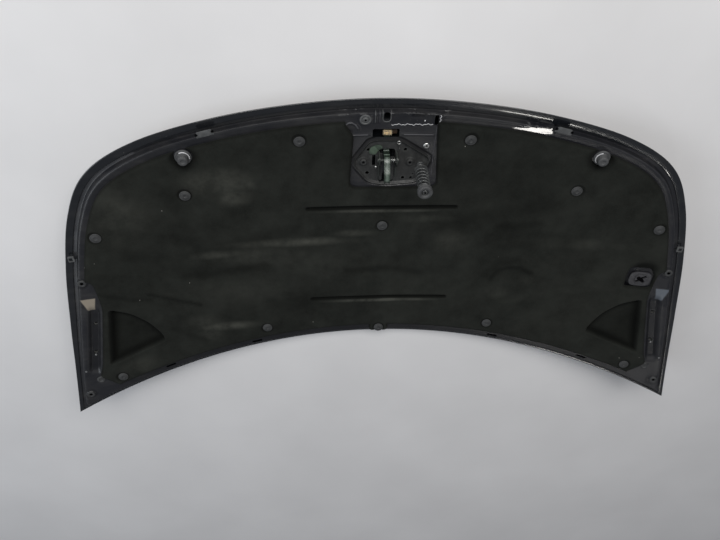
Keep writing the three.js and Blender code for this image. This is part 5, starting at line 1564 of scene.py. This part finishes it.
class BONNET_OT_hook(bpy.types.Operator):
    """Safety hook and its release tab"""
    bl_idname = "bonnet.hook"
    bl_label = "Safety hook"

    def execute(self, context):
        rise = 56
        nose = [
            (22, 10), (24, 20), (16, 29), (2, 38), (-14, rise - 6), (-30, rise), (-42, rise - 8),
            (-45, rise - 22),
            (-37, rise - 23), (-31, rise - 13), (-21, rise - 15), (-8, 28), (0, 18), (4, 6),
        ]
        arm = [(8, 12), (8, -6.5), (67, -6.5), (67, -3.8), (22, -3.8), (19, 0), (22, 12)]
        finish = FINISHES["hook"]
        hole = [circle(PIVOT_Y, PIVOT_Z, PIVOT_HOLE, 24)]
        # the nose is drawn long and shortened towards the pivot
        nose = anticlockwise([
            (PIVOT_Y + (y - PIVOT_Y) * NOSE_SCALE_Y, PIVOT_Z + (z - PIVOT_Z) * NOSE_SCALE_Z) for y, z in nose
        ])
        outline = round_loop(nose, 5, longest=4)
        web = round_loop(offset_loop(nose, -1.6), 4, longest=4)
        arm = round_loop(anticlockwise(arm), 3, longest=6)
        # the web's pale patches are grease and painted highlight
        parts = [
            side_piece("flange_a", outline, HOOK_X - 4.4, 2.2, finish, LATCH_MATRIX, 0.5, hole),
            side_piece("flange_b", outline, HOOK_X + 4.4, 2.2, finish, LATCH_MATRIX, 0.5, hole),
            side_piece("web", web, HOOK_X, 7.2, FINISHES["grease"], LATCH_MATRIX, 0.4, hole),
            side_piece("arm", arm, HOOK_X, 11, finish, LATCH_MATRIX, 0.5),
        ]
        hook = join_pieces("folded_safety_hook", parts)
        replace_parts(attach(hook, "hook"), "safety_hook")
        block = round_loop(rectangle(HOOK_X, WINDOW[1], 17, 11), 2, longest=4)
        parts = [prism_piece("tab", block, -3.5, 0.1, FINISHES["yellow"], LATCH_MATRIX, 0.5)]
        for k in range(3):
            rib = round_loop(rectangle(HOOK_X, 58.4 + 3.1 * k, 14.5, 1.5), 0.7)
            parts.append(prism_piece("rib", rib, -0.4, 0.45, FINISHES["yellow"], LATCH_MATRIX, 0.25))
        # brown strip under the window: painted reflection of the yellow tab on the window's walls
        strip = round_loop(rectangle(-3, WINDOW[1], 27, 9), 2)
        parts.append(prism_piece("strip", strip, -6.4, -4.1, FINISHES["bronze"], LATCH_MATRIX, 0.4))
        tab = join_pieces("yellow_release_tab", parts)
        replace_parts(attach(tab, "hook"), "release_tab")
        return {"FINISHED"}


class BONNET_OT_spring(bpy.types.Operator):
    """Pop-up spring with its striker pin and rubber cup"""
    bl_idname = "bonnet.spring"
    bl_label = "Pop-up spring"

    def execute(self, context):
        sizes, _ = settings()
        foot = 7.5 * math.tan(math.radians(STRIKER_TILT))
        length, cup_low, head_low = 86, 77, 82
        pin = [
            (0, foot), (6.9, foot), (7.5, foot + 0.6), (7.5, 4.4), (6.9, 5), (4.2, 5.3), (3, 7), (3, 18.5),
            (12.4, 18.5), (13, 18.9),
            (13, 19.6), (12.4, 20), (3, 20), (3, head_low), (6, head_low), (6, length - 2), (4, length),
            (2.2, length),
            (1.6, length - 0.6), (1.6, length - 2.6), (0, length - 2.6),
        ]
        striker = turned_piece(
            "striker_stud", pin, FINISHES["spring"], STRIKER_MATRIX, sizes.lathe_sides, 0.15,
        )
        # black disc at the striker's eye: painted shade
        eye = [(0, length - 2.7), (2.2, length - 2.7), (2.2, length + 0.1), (0, length + 0.1)]
        eye = turned_piece("striker_eye", eye, FINISHES["dark"], STRIKER_MATRIX, 16, 0)
        striker = join_pieces("striker_stud", [striker, eye])
        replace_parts(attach(striker, "bonnet"), "striker_pin")
        top = cup_low + 11
        cup = [
            (3.5, cup_low + 4), (12.4, cup_low + 4), (12.4, cup_low), (13.6, cup_low), (14.4, cup_low + 0.8),
            (14.4, cup_low + 3.2), (13.9, cup_low + 3.7),
            (14.4, cup_low + 4.3), (14.4, top - 2.2), (13.6, top - 0.7), (12.2, top), (9.4, top),
            (8.6, top - 0.7), (7.2, top - 1.2), (6.5, top - 2),
            (6.5, head_low - 0.3), (3.5, head_low - 0.3),
        ]
        rubber = turned_piece(
            "spring_end_cup", cup, FINISHES["rubber"], STRIKER_MATRIX, sizes.lathe_sides, 0.2,
        )
        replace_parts(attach(rubber, "cup"), "spring_cup")
        low, high = 20 + WIRE + CLEAR, cup_low + 4 - WIRE - CLEAR
        end_radius = 14.4 - 2 - 0.5 - WIRE
        coil = coil_piece(
            "pop_up_coil", sizes.spring_turns, COIL_RADIUS, end_radius, high - low, WIRE, FINISHES["spring"],
            STRIKER_MATRIX @ Matrix.Translation((0, 0, low)),
        )
        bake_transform(coil)
        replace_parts(coil, "buffer_spring")
        return {"FINISHED"}


class BONNET_OT_prop_socket(bpy.types.Operator):
    """Keyhole socket for the prop rod"""
    bl_idname = "bonnet.prop_socket"
    bl_label = "Prop-rod socket"

    def execute(self, context):
        matrix = standing_matrix(*PROP, 0.6)
        finish = FINISHES["socket"]
        flange = round_loop(rectangle(0, 0, 46, 36), 16)
        hub = round_loop(rectangle(2, 0, 26, 24), 10)
        arms = []
        for reach, angle in ((14, 38), (9.5, 142), (11, 218), (12.5, 322)):
            a = math.radians(angle)
            along, across = np.array([math.cos(a), math.sin(a)]), np.array([-math.sin(a), math.cos(a)])
            corner = np.array([math.cos(a + 0.9), math.sin(a + 0.9)]) * 5.4
            arms += [along * reach - across * 3.1, along * reach + across * 3.1, corner]
        key = round_loop(anticlockwise(arms), 1.4)
        hole = circle(0, 0, 5.5, 28)
        # the black disc and tube under the keyhole are painted shade
        parts = [
            prism_piece("flange", flange, 0, 2.5, finish, matrix, 0.5, [key]),
            prism_piece("shadow", circle(0, 0, 15.5, 40), -0.3, 0.2, FINISHES["dark"], matrix, 0),
            prism_piece("hub", hub, 2.3, 4.2, finish, matrix, 0.5, [key]),
            prism_piece("tube", circle(0, 0, 10, 40), -7, -0.6, FINISHES["dark"], matrix, 0.3, [hole]),
        ]
        socket = join_pieces("keyhole_socket", parts)
        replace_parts(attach(socket, "bonnet"), "prop_rod_socket")
        return {"FINISHED"}


class BONNET_OT_small(bpy.types.Operator):
    """Locating plug and earth rivet"""
    bl_idname = "bonnet.small"
    bl_label = "Plug and rivet"

    def execute(self, context):
        plug = [
            (0, 0), (10.6, 0), (11, 0.5), (10.8, 1.2), (9.4, 1.9), (7.8, 2.2), (7.0, 0.8), (5.4, 0.7),
            (4.9, 1.5), (4.2, 2.8), (2.3, 2.8), (1.9, 2.3), (1.9, 1), (0, 1),
        ]
        made = turned_piece(
            "panel_plug", plug, FINISHES["pale"], standing_matrix(*PLUG, SEAT_RISE + CLEAR), 48, 0.15,
        )
        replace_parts(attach(made, "bonnet"), "locating_plug")
        rivet = [(0, 0), (6, 0), (6.2, 0.3), (6.1, 1), (5, 1.9), (3.6, 2.2), (2.2, 2.1), (1.8, 0.8), (0, 0.8)]
        # black discs in the plug's and the rivet's centres: painted shade
        centres = (("plug_centre", PLUG, 2.0, 1.9, 3.9), ("rivet_centre", RIVET, 1.9, 1.0, 2.1))
        for label, (x, y), radius, low, high in centres:
            disc = [(0, low), (radius, low), (radius, high), (0, high)]
            centre = turned_piece(label, disc, FINISHES["dark"], standing_matrix(x, y), 20, 0)
            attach(centre, "bonnet")
        made = turned_piece(
            "earth_point", rivet, FINISHES["zinc"], standing_matrix(*RIVET, SEAT_RISE + CLEAR), 40, 0.1,
        )
        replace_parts(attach(made, "bonnet"), "earth_rivet")
        return {"FINISHED"}


def bead_line(name, line, radius, material, rise=0.0, closed=False):
    """Thin round bead that lies on the inner panel along a line in plan."""
    line = np.asarray(line, float)
    height = skin_height(line[:, 0], line[:, 1]) + panel_lift(line) + rise
    curve = bpy.data.curves.new(name, "CURVE")
    curve.dimensions = "3D"
    curve.bevel_depth = radius * MM
    curve.bevel_resolution = 3
    curve.use_fill_caps = True
    spline = curve.splines.new("POLY")
    spline.points.add(len(line) - 1)
    spline.use_cyclic_u = closed
    for point, (x, y), z in zip(spline.points, line, height):
        point.co = (x * MM, y * MM, z * MM, 1)
    guide = bpy.data.objects.new(name + "_guide", curve)
    bpy.context.scene.collection.objects.link(guide)
    graph = bpy.context.evaluated_depsgraph_get()
    mesh = bpy.data.meshes.new_from_object(guide.evaluated_get(graph), depsgraph=graph)
    mesh.name = name
    mesh.materials.clear()
    mesh.materials.append(material)
    mesh.shade_smooth()
    obj = bpy.data.objects.new(name, mesh)
    bpy.context.scene.collection.objects.link(obj)
    bpy.data.objects.remove(guide)
    return recalculate(obj)


def along_line(corners, step=2.0):
    corners = np.asarray(corners, float)
    run = np.concatenate([[0], np.cumsum(np.linalg.norm(np.diff(corners, axis=0), axis=1))])
    t = np.arange(0, run[-1] + step / 2, step)
    return np.stack([np.interp(t, run, corners[:, k]) for k in (0, 1)], 1)


class BONNET_OT_details(bpy.types.Operator):
    """Sealant beads, pale beads painted as highlights, blanking plates, notch frames and corner caps on the
    inner panel
    """
    bl_idname = "bonnet.details"
    bl_label = "Panel details"

    def execute(self, context):
        pale, sealer = FINISHES["pale"], FINISHES["sealer"]
        x = np.arange(10, 87, 1.5)
        ragged = np.stack([x, ragged_edge(x, 0.9, 0.7)], 1)
        # beads in the pale bead finish are painted highlights: the glint along the glossy strip's ragged
        # edge, the zigzag and the drop
        bead = FINISHES["bead"]
        notch = [(-6.5, 353), (-6.5, 338), (-4, 333.5), (1, 332.3), (6, 333.5), (8.5, 338), (8.5, 353)]
        arch = [(-79, 319), (-74, 327), (-68, 331), (-62, 331), (-56, 327), (-51, 319)]
        zigzag = [(98.5, 346), (100, 343), (97.6, 340), (100, 336), (97.6, 332), (99, 328)]
        beads = [bead_line("edge", ragged, 0.55, bead, 0.2)]
        for name, corners, step, radius, finish, rise in (
            ("left", [(-20, 331), (-20, 354)], 2.0, 0.8, pale, 0.2),
            ("right", [(-12, 331), (-12, 354)], 2.0, 0.6, sealer, 0.2),
            ("notch", notch, 1.2, 0.9, pale, 0.2),
            ("arch", arch, 1.5, 1.5, sealer, -0.2),
            ("low", [(-70, 305), (-32, 305.5)], 2.0, 0.9, sealer, 0.0),
            ("low_right", [(34, 305.5), (90, 305)], 2.0, 0.9, sealer, 0.0),
            ("zigzag", zigzag, 1.0, 0.7, bead, 0.4),
            ("drop", [(70, 334), (72.2, 334)], 1.0, 1.3, bead, 0.2),
            ("side", [(94.5, 322), (94, 262), (95, 215)], 2.0, 0.9, sealer, 0.0),
        ):
            beads.append(bead_line(name, along_line(corners, step), radius, finish, rise))
        strips = join_pieces("panel_sealant_beads", beads)
        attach(strips, "bonnet")
        plates, end = [], [(0, 0.2), (2.6, 0.2), (2.6, 1.55), (0, 1.55)]
        for side in (-1, 1):
            matrix = standing_matrix(side * BLANKING_PLATES[0], BLANKING_PLATES[1], 0.25)
            matrix = matrix @ Matrix.Rotation(-side * BLANKING_TURN, 4, "Z")
            corners = np.array([(-0.5, -0.5), (0.5, -0.5), (0.40, 0.5), (-0.40, 0.5)]) * (34, 12)
            plates.append(
                prism_piece("plate", round_loop(anticlockwise(corners), 2), 0, 1.3, pale, matrix, 0.4),
            )
            # black discs at the plates' ends: painted shade
            for reach in (-15, 15):
                place = matrix @ Matrix.Translation((reach, 1, 0))
                plates.append(turned_piece("end", end, FINISHES["dark"], place, 16, 0))
            frame_loop = round_loop(rectangle(0, 0, 12, 13), 2)
            hole = round_loop(rectangle(side, -1, 7, 8), 1.5)
            matrix = standing_matrix(side * (NOTCHES[0] + 3), NOTCHES[1] + 3, -7)
            plates.append(prism_piece("frame", frame_loop, 0, 2.6, pale, matrix, 0.4, [hole]))
        plates = join_pieces("panel_blanking_plates", plates)
        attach(plates, "bonnet")
        cap = [
            (0, -1), (9.4, -1), (9.4, 0.6), (8.6, 1.7), (6.6, 2.3), (4.9, 2.2), (4.1, 1.2), (3.4, 0.9),
            (0, 0.9),
        ]
        source = turned_piece("cap_source", cap, FINISHES["clip"], Matrix.Identity(4), 32, 0.15)
        places = [standing_matrix(side * 651.5, -273, 0.2) for side in (-1, 1)]
        caps = scatter("corner_caps", source, places, FINISHES["clip"])
        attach(caps, "bonnet")
        ring = [(3.7, -0.4), (8.4, -0.4), (8.4, 0.4), (7.5, 1.3), (5.4, 1.6), (4.0, 1.2), (3.7, 0.6)]
        source = turned_piece("ring_source", ring, FINISHES["clip"], Matrix.Identity(4), 32, 0.15)
        places = [standing_matrix(side * bx, by, 1.7) for side in (-1, 1) for bx, by, _ in BOSSES]
        rings = scatter("boss_rings", source, places, FINISHES["clip"])
        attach(rings, "bonnet")
        return {"FINISHED"}


def area_light(name, place, target, size, energy, colour=(1, 1, 1)):
    data = bpy.data.lights.new(name, "AREA")
    data.shape = "RECTANGLE"
    data.size, data.size_y = size
    data.energy = energy
    data.color = colour
    obj = bpy.data.objects.new(name, data)
    obj.location = place
    direction = Vector(target) - Vector(place)
    obj.rotation_euler = direction.to_track_quat("-Z", "Y").to_euler()
    bpy.context.scene.collection.objects.link(obj)
    return obj


def camera_matrix():
    pitch, yaw, roll = (math.radians(a) for a in CAMERA_TURNS)
    cp, sp, cy, sy, cr, sr = (f(a) for a in (pitch, yaw, roll) for f in (math.cos, math.sin))
    base = np.array([[1, 0, 0], [0, -1, 0], [0, 0, -1]])
    turn_x = np.array([[1, 0, 0], [0, cp, sp], [0, -sp, cp]])
    turn_y = np.array([[cy, 0, sy], [0, 1, 0], [-sy, 0, cy]])
    turn_z = np.array([[cr, -sr, 0], [sr, cr, 0], [0, 0, 1]])
    view = turn_z @ base @ turn_x @ turn_y
    matrix = Matrix(np.stack([view[0], -view[1], -view[2]], 1).tolist()).to_4x4()
    matrix.translation = CAMERA_PLACE
    return matrix


class BONNET_OT_stage(bpy.types.Operator):
    """Pale floor, soft light and the camera"""
    bl_idname = "bonnet.stage"
    bl_label = "Stage"

    def execute(self, context):
        scene = context.scene
        bpy.ops.mesh.primitive_plane_add(size=14, location=(0, 0, -0.0005))
        floor = context.active_object
        floor.name = "floor"
        material, tree, shader, place = new_material("floor_paint", 0.6)
        shade = noise(tree, place, 3, 4)
        base = mix_colour(tree, ramp(tree, shade, 0.3, 0.7), (0.62, 0.615, 0.62), (0.68, 0.675, 0.68))
        tree.links.new(base, shader.inputs["Base Color"])
        floor.data.materials.append(material)
        world = bpy.data.worlds.new("soft_room")
        scene.world = world
        world.use_nodes = True
        background = world.node_tree.nodes["Background"]
        background.inputs["Color"].default_value = (0.84, 0.88, 0.96, 1)
        seen = node(world.node_tree, "ShaderNodeLightPath").outputs["Is Camera Ray"]
        world.node_tree.links.new(ramp(world.node_tree, seen, 0, 1, 0.2, 0.72), background.inputs["Strength"])
        area_light("ceiling", (0.1, 2.2, 2.1), (0, 0.1, 0), (3.0, 1.3), 90, (1, 0.985, 0.96))
        area_light("window", (-2.4, 0.2, 1.9), (0, 0, 0), (1.6, 1.8), 24, (0.88, 0.94, 1))
        facet = tuple(v * MM for v in (*FACET, FACET_HEIGHT))
        area_light("lamp_tube", (0.81, -1.525, 1.808), facet, (0.26, 0.06), 1.5, (1, 0.97, 0.92))
        camera = bpy.data.objects.new("camera", bpy.data.cameras.new("camera"))
        scene.collection.objects.link(camera)
        camera.data.sensor_width = SENSOR_WIDTH
        camera.data.lens = LENS
        camera.matrix_world = camera_matrix()
        camera.data.clip_start = 0.05
        scene.camera = camera
        scene.view_settings.view_transform = "Standard"
        return {"FINISHED"}


PIECES = (
    BONNET_OT_skin, BONNET_OT_panel, BONNET_OT_pad, BONNET_OT_clips, BONNET_OT_bumpers, BONNET_OT_hinges,
    BONNET_OT_catch, BONNET_OT_hook, BONNET_OT_spring, BONNET_OT_prop_socket, BONNET_OT_small,
    BONNET_OT_details, BONNET_OT_stage,
)


class BONNET_PT_panel(bpy.types.Panel):
    """Lists the bonnet's pieces and settings"""
    bl_idname = "BONNET_PT_panel"
    bl_label = "Bonnet"
    bl_space_type = "VIEW_3D"
    bl_region_type = "UI"
    bl_category = "Bonnet"

    def draw(self, context):
        for group in (context.scene.bonnet_sizes, context.scene.bonnet_colours):
            for key in group.__annotations__:
                self.layout.prop(group, key)
        for piece in PIECES:
            self.layout.operator(piece.bl_idname)


CLASSES = (BonnetSizes, BonnetColours, *PIECES, BONNET_PT_panel)


def register():
    for item in CLASSES:
        bpy.utils.register_class(item)
    bpy.types.Scene.bonnet_sizes = PointerProperty(type=BonnetSizes)
    bpy.types.Scene.bonnet_colours = PointerProperty(type=BonnetColours)


def unregister():
    del bpy.types.Scene.bonnet_sizes
    del bpy.types.Scene.bonnet_colours
    for item in reversed(CLASSES):
        bpy.utils.unregister_class(item)


def main():
    register()
    make_finishes(settings()[1])
    for piece in PIECES:
        group, name = piece.bl_idname.split(".")
        getattr(getattr(bpy.ops, group), name)()


if __name__ == "__main__":
    main()
